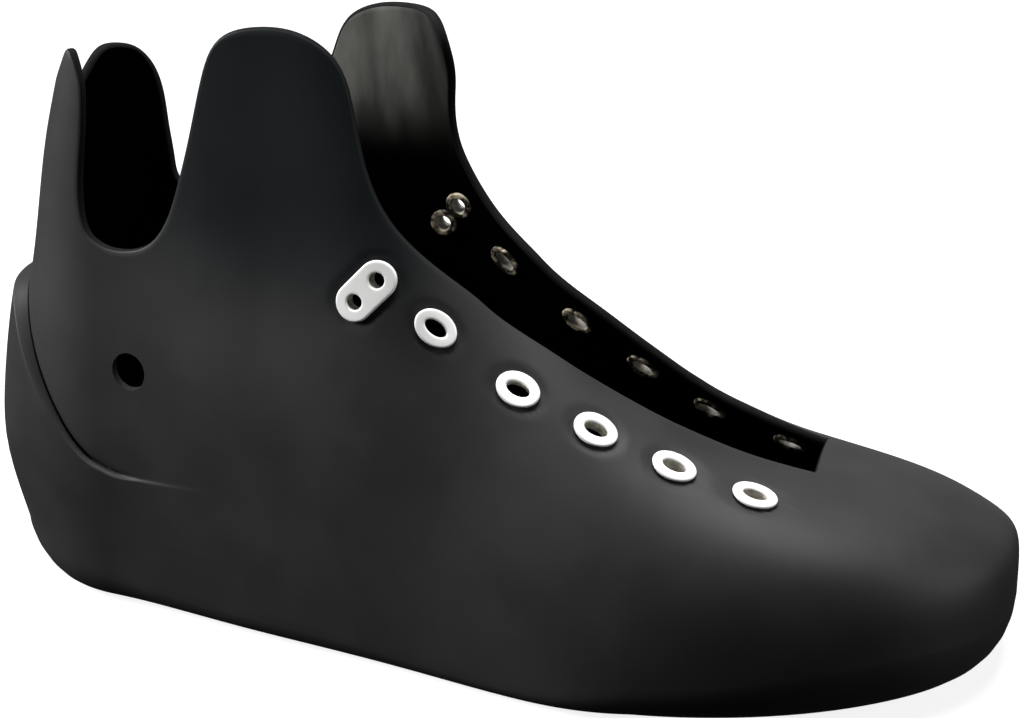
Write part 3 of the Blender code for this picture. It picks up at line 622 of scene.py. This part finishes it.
# %% Finish of each quad
OUTSIDE, INSIDE, DARK = 0, 1, 2
belt_finish = np.full((len(belt_outer) - 1, len(girths)), OUTSIDE)
ledge_row = np.arange(len(belt_finish))[:, None] - (EDGE_ROWS + CUP_ROWS)
first_dark = np.interp(along, DARK_ROWS[:, 0], DARK_ROWS[:, 1])
# Painted shade in the groove over the heel cup: these ledge rows get the near black finish.
belt_finish[(ledge_row >= first_dark) & (ledge_row < DARK_END)] = DARK
outer_finish = np.full(len(face_quads), OUTSIDE)
outer_finish[:belt_finish.size] = belt_finish.ravel()
inner_finish = np.full(len(face_quads), INSIDE)
# Painted shade along the upper edge: all rows of the round but the outer one get the near black finish.
round_finish = np.full((ROUND_ROWS, len(rim)), DARK)
round_finish[0] = OUTSIDE
shell_finish = np.concatenate([outer_finish, inner_finish, round_finish.ravel()]).astype(np.int32)
print("dark quads:", int((shell_finish == DARK).sum()))


# %% Putting arrays into a mesh
def quad_mesh(name, points, quads, finish):
    """Mesh in metres, moved so that the middle of the foot's length is at zero, with a finish per quad."""
    mesh = bpy.data.meshes.new(name)
    mesh.vertices.add(len(points))
    mesh.vertices.foreach_set("co", ((points - (MIDDLE, 0, 0)) * MM).astype(np.float32).ravel())
    mesh.loops.add(quads.size)
    mesh.loops.foreach_set("vertex_index", quads.astype(np.int32).ravel())
    mesh.polygons.add(len(quads))
    mesh.polygons.foreach_set("loop_start", np.arange(0, quads.size, 4, dtype=np.int32))
    mesh.polygons.foreach_set("material_index", finish)
    mesh.update(calc_edges=True)
    mesh.validate()
    return mesh


def outward(points, quads):
    """Quads turned round if the volume they enclose, summed from corner products, comes out negative."""
    a, b, c, d = [points[quads[:, k]] for k in range(4)]
    volume = np.einsum("ij,ij->", a, np.cross(b, c)) + np.einsum("ij,ij->", a, np.cross(c, d))
    return quads if volume > 0 else quads[:, ::-1]


def piece(name, mesh, slot, nodes, finishes, sharp):
    """Object on the root that stands for its solids, with edges past an angle in degrees left sharp."""
    mesh.shade_smooth()
    mesh.set_sharp_from_angle(angle=math.radians(sharp))
    for finish in finishes:
        mesh.materials.append(finish)
    made = placed(name, mesh)
    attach(made, "root")
    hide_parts(*nodes)
    return made


shell_quads = outward(shell_points, shell_quads)
shell_mesh = quad_mesh("shell_skin", shell_points, shell_quads, shell_finish)
for _ in range(DARK + 1):
    shell_mesh.materials.append(None)
print("shell mesh:", len(shell_mesh.vertices), "points")

# %% [markdown]
# ## Holes
# The moulder drills the lace holes and the two cuff pivot holes after moulding. A boolean does the same: one
# hidden cutter holds every drill, and the result replaces the mesh, so no cutter stays in the scene.

# %% Drills
BARREL = (4.0, 2.45)
PLATE_BARREL = 2.8
FIT_GAP = 0.3
DRILL_SIDES = 64
DRILL_REACH, PIVOT_REACH = 7.0, 70.0
PIVOT_PLACE, PIVOT_RADIUS = (48.6, 0.0, 74.9), 5.5


def drill(half_length, half_width, reach, matrix):
    """Oval prism: cosine and sine of the turn times the halves, at plus and minus the reach."""
    turn = np.arange(DRILL_SIDES) * 2 * math.pi / DRILL_SIDES
    outline = np.stack([half_length * np.cos(turn), half_width * np.sin(turn)], -1)
    low = np.column_stack([outline, np.full(DRILL_SIDES, -reach)])
    high = np.column_stack([outline, np.full(DRILL_SIDES, reach)])
    return np.concatenate([low, high]) @ matrix[:3, :3].T + matrix[:3, 3]


def shifted(matrix, along):
    """The same seat, moved along its row."""
    made = matrix.copy()
    made[:3, 3] += along * matrix[:3, 0]
    return made


half_length, half_width = np.array(BARREL) + FIT_GAP
drills = [drill(half_length, half_width, DRILL_REACH, matrix) for _, _, matrix in eyelet_seats]
radius = PLATE_BARREL + FIT_GAP
for _, _, matrix, half_spacing in plate_seats:
    for along_row in (half_spacing, -half_spacing):
        drills.append(drill(radius, radius, DRILL_REACH, shifted(matrix, along_row)))
across = placing([(1, 0, 0), (0, 0, 1), (0, -1, 0)], PIVOT_PLACE)
drills.append(drill(PIVOT_RADIUS, PIVOT_RADIUS, PIVOT_REACH, across))
print("drills:", len(drills))

# %% Cutting the holes
ring_low = np.arange(DRILL_SIDES)
ring_ahead = np.roll(ring_low, -1)
sides = np.stack([ring_low, ring_ahead, ring_ahead + DRILL_SIDES, ring_low + DRILL_SIDES], -1).tolist()
caps = [ring_low[::-1].tolist(), (ring_low + DRILL_SIDES).tolist()]
drill_faces = []
for i in range(len(drills)):
    drill_faces += [[number + 2 * DRILL_SIDES * i for number in face] for face in sides + caps]
drill_mesh = bpy.data.meshes.new("drills")
drill_mesh.from_pydata(((np.concatenate(drills) - (MIDDLE, 0, 0)) * MM).tolist(), [], drill_faces)
cutter = placed("drills", drill_mesh)
blank = placed("shell_blank", shell_mesh)
boolean = blank.modifiers.new("holes", "BOOLEAN")
boolean.operation, boolean.solver, boolean.object = "DIFFERENCE", "EXACT", cutter
bpy.context.view_layer.update()
drilled = bpy.data.meshes.new_from_object(blank.evaluated_get(bpy.context.evaluated_depsgraph_get()))
for part in (blank, cutter):
    bpy.data.objects.remove(part, do_unlink=True)
print("drilled shell:", len(drilled.polygons), "faces")

# %% [markdown]
# ## Black moulded plastic
# The shell is satin black plastic with a fine moulded grain, and its grey is never quite even: slow patches run
# over it. The outsides of the wings get painted shade: a darker, cooler black with less gloss. The steep sides
# of the toe get painted shade too, so they are darker and less glossy than its top. Inside, the black is
# painted shade, near black and without gloss, and towards the tops of the wings it turns to a paler, glossier
# grey in streaks, which is painted light. Patterns are noise on Object coordinates, which are metres on the
# part, so the scale of each one is a real size. Grain goes to a bump, patches to colour and roughness.

# %% Node helpers
def fill(made, inputs):
    """Each named input of a node linked to a socket or set to a value; id_data is the node's tree."""
    for name, source in inputs.items():
        if isinstance(source, bpy.types.NodeSocket):
            made.id_data.links.new(source, made.inputs[name])
        else:
            made.inputs[name].default_value = source


def node(tree, kind, inputs, **settings):
    """New shader node with some properties set and some inputs filled."""
    made = tree.nodes.new(kind)
    for name, value in settings.items():
        setattr(made, name, value)
    fill(made, inputs)
    return made


def new_finish(name):
    """Material, its Principled shader and its Object coordinates."""
    made = bpy.data.materials.new(name)
    made.use_nodes = True
    tree = made.node_tree
    return made, tree.nodes["Principled BSDF"], node(tree, "ShaderNodeTexCoord", {}).outputs["Object"]


def axes(place):
    """The three coordinates of a place."""
    return node(place.id_data, "ShaderNodeSeparateXYZ", {"Vector": place}).outputs


def noise(place, scale, detail=3.0, stretch=(1, 1, 1)):
    """Noise with a given number of cells to the metre, squeezed along some axes."""
    mapping = node(place.id_data, "ShaderNodeMapping", {"Vector": place, "Scale": stretch})
    inputs = {"Vector": mapping.outputs["Vector"], "Scale": scale, "Detail": detail}
    return node(place.id_data, "ShaderNodeTexNoise", inputs).outputs["Fac"]


def between(value, low=0.0, high=1.0, start=0.35, end=0.65, shape="LINEAR"):
    """Value moved from one span, that of the noise if none is named, to the span from low to high."""
    inputs = {"Value": value, "From Min": start, "From Max": end, "To Min": low, "To Max": high}
    return node(value.id_data, "ShaderNodeMapRange", inputs, interpolation_type=shape).outputs["Result"]


def joined(first, second, operation="MULTIPLY"):
    """Two values multiplied, or put together in another way."""
    return node(first.id_data, "ShaderNodeMath", {0: first, 1: second}, operation=operation).outputs["Value"]


def blend(share, first, second):
    """Two colours mixed by a share; the mix node has its colours at inputs 6 and 7 and at output 2."""
    inputs = {"Factor": share, 6: first, 7: second}
    return node(share.id_data, "ShaderNodeMix", inputs, data_type="RGBA").outputs[2]


def bump(height, distance, strength):
    """Surface tilt from a height pattern of a given depth in metres."""
    inputs = {"Height": height, "Distance": distance, "Strength": strength}
    return node(height.id_data, "ShaderNodeBump", inputs).outputs["Normal"]


print("node helpers are defined")

# %% Black outside
black, shader, place = new_finish("black_moulded_plastic")
patches = noise(place, 38.0)
grain = noise(place, 2600.0, 2.0)
base = blend(between(patches), (0.019, 0.019, 0.019, 1), (0.024, 0.024, 0.024, 1))
forward, _, height = axes(place)
up_the_wing = between(height, 0.0, 0.85, 0.085, 0.135, "SMOOTHSTEP")
before_the_tab = between(forward, 0.0, 1.0, -0.11, -0.07)
behind_the_throat = between(forward, 1.0, 0.0, -0.02, 0.02)
on_the_wing = joined(joined(up_the_wing, before_the_tab), behind_the_throat)
# Painted shade on the outsides of the wings: a darker, cooler black.
base = blend(on_the_wing, base, (0.006, 0.0085, 0.0105, 1))
upward = node(black.node_tree, "ShaderNodeAttribute", {}, attribute_name="upward").outputs["Fac"]
past_the_ball = between(forward, 0.0, 0.5, 0.03, 0.09, "SMOOTHSTEP")
behind_the_tip = between(forward, 1.0, 0.0, 0.12, 0.15, "SMOOTHSTEP")
steep = between(upward, 1.0, 0.0, 0.0, 1.0)
steep_toe = joined(joined(past_the_ball, behind_the_tip), steep)
# Painted shade on the steep sides of the toe, from how far each point faces up.
base = blend(steep_toe, base, (0.006, 0.006, 0.006, 1))
# Less gloss where shade is painted, on the wings and on the steep sides of the toe.
painted_shade_share = joined(on_the_wing, steep_toe, "ADD")
fill(shader, {
    "Base Color": base, "Specular IOR Level": between(painted_shade_share, 0.25, 0.1, 0.0, 0.85),
    "Roughness": between(patches, 0.52, 0.6), "Normal": bump(grain, 0.00003, 0.5),
})
print("outside:", black.name, "nodes:", len(black.node_tree.nodes))

# %% Inside and dark edge, with painted shade and light
inside, shader, place = new_finish("shell_inside_painted_shade_and_light")
forward, _, height = axes(place)
streaks = noise(place, 110.0, 5.0, (1.0, 1.0, 0.3))
painted_light_streaks = blend(between(streaks), (0.07, 0.07, 0.065, 1), (0.17, 0.17, 0.155, 1))
up_the_wing = between(height, 0.0, 1.0, 0.125, 0.158, "SMOOTHERSTEP")
before_the_tab = between(forward, 0.0, 1.0, -0.08, -0.07)
behind_the_edge = between(forward, 1.0, 0.15, -0.04, -0.018, "SMOOTHSTEP")
on_the_wing = joined(joined(up_the_wing, before_the_tab), behind_the_edge)
# Painted shade inside the shell, near black, turning to painted light towards the tops of the wings: a paler
# grey in streaks, with some gloss, which fades back towards the front.
tone = blend(on_the_wing, (0.0008, 0.0008, 0.0008, 1), painted_light_streaks)
fill(shader, {
    "Base Color": tone, "Specular IOR Level": between(on_the_wing, 0.0, 0.3, 0.0, 1.0),
    "Roughness": between(streaks, 0.6, 0.75), "Normal": bump(streaks, 0.0001, 0.3),
})

# Painted shade: near black, with little gloss, for the groove over the heel cup and the rounded upper edge.
dark, shader, place = new_finish("painted_shade_edge")
edge_roughness = between(noise(place, 300.0), 0.7, 0.85)
fill(shader, {"Base Color": (0.005, 0.005, 0.005, 1), "Roughness": edge_roughness, "Specular IOR Level": 0.1})
print("inside:", inside.name, "edge:", dark.name)

# %% The shell in its finishes
SHELL_SHARP = 35
# Upward part of the normal up to which the toe's painted shade is full, and the span over which it fades out
TOE_SHADE_FROM, TOE_SHADE_RUN = 0.45, 0.35
shell = piece("boot_shell", drilled, "shell", ["shell"], [], SHELL_SHARP)
for number, finish in ((OUTSIDE, black), (INSIDE, inside), (DARK, dark)):
    shell.data.materials[number] = finish
facing_out = np.empty(3 * len(shell.data.vertices), np.float32)
shell.data.vertex_normals.foreach_get("vector", facing_out)
upward_share = ease((facing_out[2::3] - TOE_SHADE_FROM) / TOE_SHADE_RUN).astype(np.float32)
shell.data.attributes.new("upward", "FLOAT", "POINT").data.foreach_set("value", upward_share)
print("points that face up:", int((upward_share > 0.5).sum()))

# %% [markdown]
# ## Eyelets
# A set eyelet is a short metal tube: its white flange lies on the wall, the tube goes through the hole, and
# inside the boot the end is rolled over in split petals that show bare brass. The shape is one closed profile
# carried round an oval. Each row of the profile gives an offset from the bore and a height.

# %% Eyelet profile
BORE = (3.4, 1.85)
BORE_STEPS, BORE_ROWS = 3, 4
EYELET_SIDES = 72
EYELET_SHARP = 50
# Petals of the rolled end: how many, how wide and how deep their splits are, and the height where they start
PETALS, SPLIT_WIDTH, SPLIT_DEPTH, SPLIT_START = 6, 0.22, 0.2, -3.1


def arc(centre, radius, start, end, steps):
    """Points of a circle between two angles in degrees."""
    turn = np.radians(np.linspace(start, end, steps + 1))
    return np.stack([centre[0] + radius * np.cos(turn), centre[1] + radius * np.sin(turn)], -1)


white_profile = np.concatenate([
    straight(np.array([0.0, -1.2]), np.array([0.0, 0.4]), BORE_STEPS),
    arc((0.6, 0.4), 0.6, 180, 90, 8),
    arc((2.3, 0.4), 0.6, 90, -30, 10),
    [(2.6, -0.1), (1.4, -0.2)],
])
brass_profile = np.concatenate([
    [(0.6, -0.3), (0.6, -1.8), (0.6, -3.2)],
    arc((1.4, -3.8), 0.6, 110, -90, 10),
    arc((0.55, -3.85), 0.55, 270, 180, 5),
    [(0.0, -2.6)],
])
profile = np.concatenate([white_profile, brass_profile])
turn = np.arange(EYELET_SIDES) * 2 * math.pi / EYELET_SIDES
split = np.exp(-(np.sin(0.5 * PETALS * turn) / SPLIT_WIDTH) ** 2)
print("eyelet rows:", len(profile))


# %% Eyelet as a ring of quads
def oval_ring():
    """Grid of points: cosine and sine of the turn times the bore's halves plus the profile's offset."""
    rolled = ease((SPLIT_START - profile[:, 1]) / 0.5) * ease((profile[:, 0] - 0.5) / 0.5)
    offset = profile[:, :1] * (1 - SPLIT_DEPTH * rolled[:, None] * split)
    x = (BORE[0] + offset) * np.cos(turn)
    y = (BORE[1] + offset) * np.sin(turn)
    return np.stack([x, y, np.broadcast_to(profile[:, 1:], x.shape)], -1)


def closed_quads(rows, sides):
    """Quads of a grid that closes round its sides and from its last row to its first."""
    numbers = np.arange(rows * sides).reshape(rows, sides)
    numbers = np.concatenate([numbers, numbers[:, :1]], axis=1)
    return grid_quads(np.concatenate([numbers, numbers[:1]]))


def row_finish(white_count, count):
    """Zero for each row of the flange, one for the tube's outside and rolled end, two for the bore."""
    rows = np.arange(count)
    in_bore = (rows < BORE_STEPS) | (rows >= count - BORE_ROWS)
    return np.where(in_bore, 2, rows >= white_count).astype(np.int32)


eyelet_grid = oval_ring()
eyelet_quads = closed_quads(len(profile), EYELET_SIDES)
eyelet_finish = np.repeat(row_finish(len(white_profile), len(profile)), EYELET_SIDES)
print("eyelet quads:", len(eyelet_quads))

# %% [markdown]
# ## White lacquer and brass
# The flanges are lacquered white and shiny, a little uneven where they were pressed. The rolled ends are bare
# brass, blotched dark with tarnish. In the bores the finish is a dull, blotched grey-cream, darker than the
# flange.

# %% White lacquer and brass
white, shader, place = new_finish("white_lacquer")
dust = noise(place, 160.0)
lacquer = blend(between(dust), (0.88, 0.88, 0.87, 1), (0.92, 0.92, 0.91, 1))
fill(shader, {
    "Base Color": lacquer, "Roughness": between(dust, 0.3, 0.36), "Coat Weight": 0.3, "Coat Roughness": 0.15,
})

brass, shader, place = new_finish("bare_brass")
tarnish = noise(place, 380.0, 4.0)
metal = blend(between(tarnish, 0.0, 1.0, 0.45, 0.6), (0.02, 0.017, 0.012, 1), (0.62, 0.54, 0.38, 1))
fill(shader, {
    "Base Color": metal, "Metallic": 0.4,
    "Roughness": between(tarnish, 0.4, 0.6), "Normal": bump(tarnish, 0.0001, 0.5),
})

# The bores: a dull, blotched grey-cream, darker than the white flange.
bore, shader, place = new_finish("dull_bore")
bore_blotches = noise(place, 420.0, 4.0)
cream = blend(between(bore_blotches), (0.22, 0.21, 0.19, 1), (0.68, 0.65, 0.58, 1))
fill(shader, {"Base Color": cream, "Roughness": between(bore_blotches, 0.4, 0.6)})
set_finishes = [white, brass, bore]
print("eyelet finishes:", [finish.name for finish in set_finishes])


# %% Setting the eyelets
BEND_ALONG = (2, 1, 0, 3, 2, 1, 0)
BEND_ACROSS = (0, 1, 2, 0, 1, 2, 3)
# Girths and heights round a seat at which the wall is fitted
BEND_GIRTHS, BEND_HEIGHTS = np.linspace(-9, 9, 7), np.linspace(-8, 8, 7)


def bent(points, matrix, place):
    """Points lifted by the square and cubic terms that fit the wall round their seat, then moved to it."""
    near_places = np.meshgrid(place[0] + BEND_GIRTHS, place[1] + BEND_HEIGHTS)
    near = (on_wall(*near_places) - matrix[:3, 3]) @ matrix[:3, :3]
    terms = near[..., :1] ** BEND_ALONG * near[..., 1:2] ** BEND_ACROSS
    bend = np.linalg.lstsq(terms.reshape(-1, len(BEND_ALONG)), near[..., 2].ravel(), rcond=None)[0]
    lift = (points[:, :1] ** BEND_ALONG * points[:, 1:2] ** BEND_ACROSS) @ bend
    return (points + np.outer(lift, [0, 0, 1])) @ matrix[:3, :3].T + matrix[:3, 3]


for name, place, matrix in eyelet_seats:
    points = bent(eyelet_grid.reshape(-1, 3), matrix, place)
    mesh = quad_mesh(f"eyelet_{name}", points, outward(points, eyelet_quads), eyelet_finish)
    piece(f"set_eyelet_{name}", mesh, "eyelets", [f"eyelet_{name}"], set_finishes, EYELET_SHARP)
print("set eyelets:", len(eyelet_seats))

# %% [markdown]
# ## Lace plates
# At the top of the throat one long plate carries two holes. Half of it is a fan round its hole: every spoke
# runs from the bore to the plate's outline or to the middle line. The other half is the same fan turned half
# a circle, and the two are merged along the middle.

# %% Lace plate
PLATE_BORE = 2.2
RIM_SPOKES, MIDDLE_SPOKES = 72, 24
PLATE_TOP, PLATE_EDGE, BORE_EDGE = 1.0, 0.6, 0.5
# Underside: how far in it starts, the ring where it meets the posts, and the heights of both
UNDER_INSET, UNDER_RING, UNDER_HEIGHTS = 0.2, 4.0, (-0.1, -0.2)
MERGE_DISTANCE = 2e-6


def plate_reach(turn, hole):
    """Length of a spoke: to the middle line, to the straight side or to the round end, whichever is first."""
    half_length, radius = PLATE_HALF
    cosine, sine = np.cos(turn), np.sin(turn)
    offset = hole - (half_length - radius)
    to_round = -offset * cosine + np.sqrt(radius ** 2 - (offset * sine) ** 2)
    to_side = radius / np.maximum(np.abs(sine), 1e-6)
    to_middle = np.where(cosine < -1e-6, -hole / np.minimum(cosine, -1e-6), 1e6)
    beyond = hole + to_side * cosine > half_length - radius
    return np.minimum(np.where(beyond, to_round, to_side), to_middle)


def plate_row(plan, height):
    """Points of a plan at one height, or each at a height of its own."""
    return np.column_stack([plan, np.broadcast_to(height, len(plan))])


def plate_half(hole):
    """Fan of points round one hole, row by row from the bore's foot over the top and back below."""
    corner_turn = math.atan2(PLATE_HALF[1], -hole)
    turn = np.concatenate([
        np.linspace(-corner_turn, corner_turn, RIM_SPOKES + 1)[:-1],
        np.linspace(corner_turn, 2 * math.pi - corner_turn, MIDDLE_SPOKES + 1)[:-1],
    ])
    spokes = np.stack([np.cos(turn), np.sin(turn)], -1)
    centre = np.array([hole, 0.0])
    outline = centre + plate_reach(turn, hole)[:, None] * spokes
    free = np.arange(len(turn)) <= RIM_SPOKES
    nearest = np.clip(outline[free, 0], 0, PLATE_HALF[0] - PLATE_HALF[1])
    facing = np.zeros_like(outline)
    facing[free] = unit(outline[free] - np.stack([nearest, 0 * nearest], -1))
    bore_line = straight(white_profile[0], np.array([0.0, BORE_EDGE]), BORE_STEPS)
    bore_profile = np.concatenate([bore_line, arc((BORE_EDGE, BORE_EDGE), BORE_EDGE, 180, 90, 8)[1:]])
    rows = [plate_row(centre + (PLATE_BORE + offset) * spokes, height) for offset, height in bore_profile]
    ring = rows[-1][:, :2]
    for share in (0.25, 0.5, 0.75, 1.0):
        rows.append(plate_row(ring + (outline - PLATE_EDGE * facing - ring) * share, PLATE_TOP))
    top_row = len(rows) - 1
    for lean in np.radians(np.linspace(90, -20, 9)[1:]):
        height = PLATE_TOP - PLATE_EDGE * (1 - math.sin(lean)) * free
        rows.append(plate_row(outline - PLATE_EDGE * (1 - math.cos(lean)) * facing, height))
    side_row = len(rows) - 1
    rows.append(plate_row(outline - UNDER_INSET * facing, UNDER_HEIGHTS[0]))
    rows.append(plate_row(centre + UNDER_RING * spokes, UNDER_HEIGHTS[1]))
    white_rows = len(rows)
    rows += [plate_row(centre + (PLATE_BORE + offset) * spokes, height) for offset, height in brass_profile]
    quads = closed_quads(len(rows), len(turn))
    row, spoke = np.divmod(np.arange(len(quads)), len(turn))
    kept = ~((row >= top_row) & (row <= side_row) & (spoke >= RIM_SPOKES))
    return np.concatenate(rows), quads[kept], row_finish(white_rows, len(rows))[row][kept]


print("points of half a plate:", [len(plate_half(half_spacing)[0]) for *_, half_spacing in plate_seats])


# %% Setting the lace plates
def merged(mesh, distance):
    """Mesh with points closer than a distance made one, and the number of edges left open."""
    work = bmesh.new()
    work.from_mesh(mesh)
    bmesh.ops.remove_doubles(work, verts=work.verts, dist=distance)
    left_open = sum(not edge.is_manifold for edge in work.edges)
    work.to_mesh(mesh)
    work.free()
    return left_open


for word, place, matrix, half_spacing in plate_seats:
    points, plate_quads, plate_finish = plate_half(half_spacing)
    turned = points * (-1, -1, 1)
    both = bent(np.concatenate([points, turned]), matrix, place)
    all_quads = outward(both, np.concatenate([plate_quads, plate_quads + len(points)]))
    mesh = quad_mesh(f"lace_plate_{word}", both, all_quads, np.concatenate([plate_finish, plate_finish]))
    left_open = merged(mesh, MERGE_DISTANCE)
    piece(f"set_lace_plate_{word}", mesh, "eyelets", [f"lace_plate_{word}"], set_finishes, EYELET_SHARP)
    print("lace plate:", word, "open edges:", left_open)

# %% [markdown]
# ## Floor and light
# The photograph is a product shot on white. A wide pale floor stands in for the paper. It glows a little, so
# shadows on it stay faint, and it throws no light back on the boot, whose low parts are dark in the picture.
# Soft panels stand overhead and to the left, where the picture has its lighter planes: the top of the toe,
# the edge of the throat and the back of the heel. A weak panel on the right lifts the tip of the toe, and a
# low panel behind draws the pale line along the far edges.

# %% Floor
paper, shader, _ = new_finish("studio_paper")
fill(shader, {
    "Base Color": (0.25, 0.25, 0.25, 1), "Roughness": 0.9,
    "Emission Color": (1, 1, 1, 1), "Emission Strength": 0.85,
})
FLOOR_HALF, FLOOR_LEVEL = 4.0, -0.0003
corner_signs = ((-1, -1), (1, -1), (1, 1), (-1, 1))
floor_corners = [(x * FLOOR_HALF, y * FLOOR_HALF, FLOOR_LEVEL) for x, y in corner_signs]
floor_mesh = bpy.data.meshes.new("studio_floor")
floor_mesh.from_pydata(floor_corners, [], [(0, 1, 2, 3)])
floor_mesh.materials.append(paper)
floor = placed("studio_floor", floor_mesh)
floor.visible_diffuse = False
floor.visible_glossy = False
print("floor:", 2 * FLOOR_HALF, "m wide")


# %% Light
def soft_light(name, place, aim, size, power):
    """Square area light at a place, turned to face a point."""
    lamp = bpy.data.lights.new(name, "AREA")
    lamp.size = size
    lamp.energy = power
    away = unit(np.subtract(place, aim))
    across = unit(np.cross((0.0, 1.0, 0.001), away))
    turned = placing([across, np.cross(away, across), away], place)
    placed(name, lamp).matrix_world = Matrix(turned.tolist())


soft_light("overhead_panel", (0.0, 0.05, 1.5), (0, 0, 0.05), 0.9, 40)
soft_light("left_panel", (-1.4, -0.4, 0.75), (0, 0, 0.08), 0.7, 37)
soft_light("right_panel", (1.4, -0.1, 0.6), (0, 0, 0.05), 0.6, 8)
soft_light("back_panel", (0.2, 2.2, 0.35), (0, 0, 0.05), 2.0, 4)
world = bpy.data.worlds.new("studio_air")
world.use_nodes = True
fill(world.node_tree.nodes["Background"], {"Color": (1, 1, 1, 1), "Strength": 0.03})
bpy.context.scene.world = world
bpy.context.scene.view_settings.view_transform = "Standard"
print("lights:", [light.name for light in bpy.data.lights])
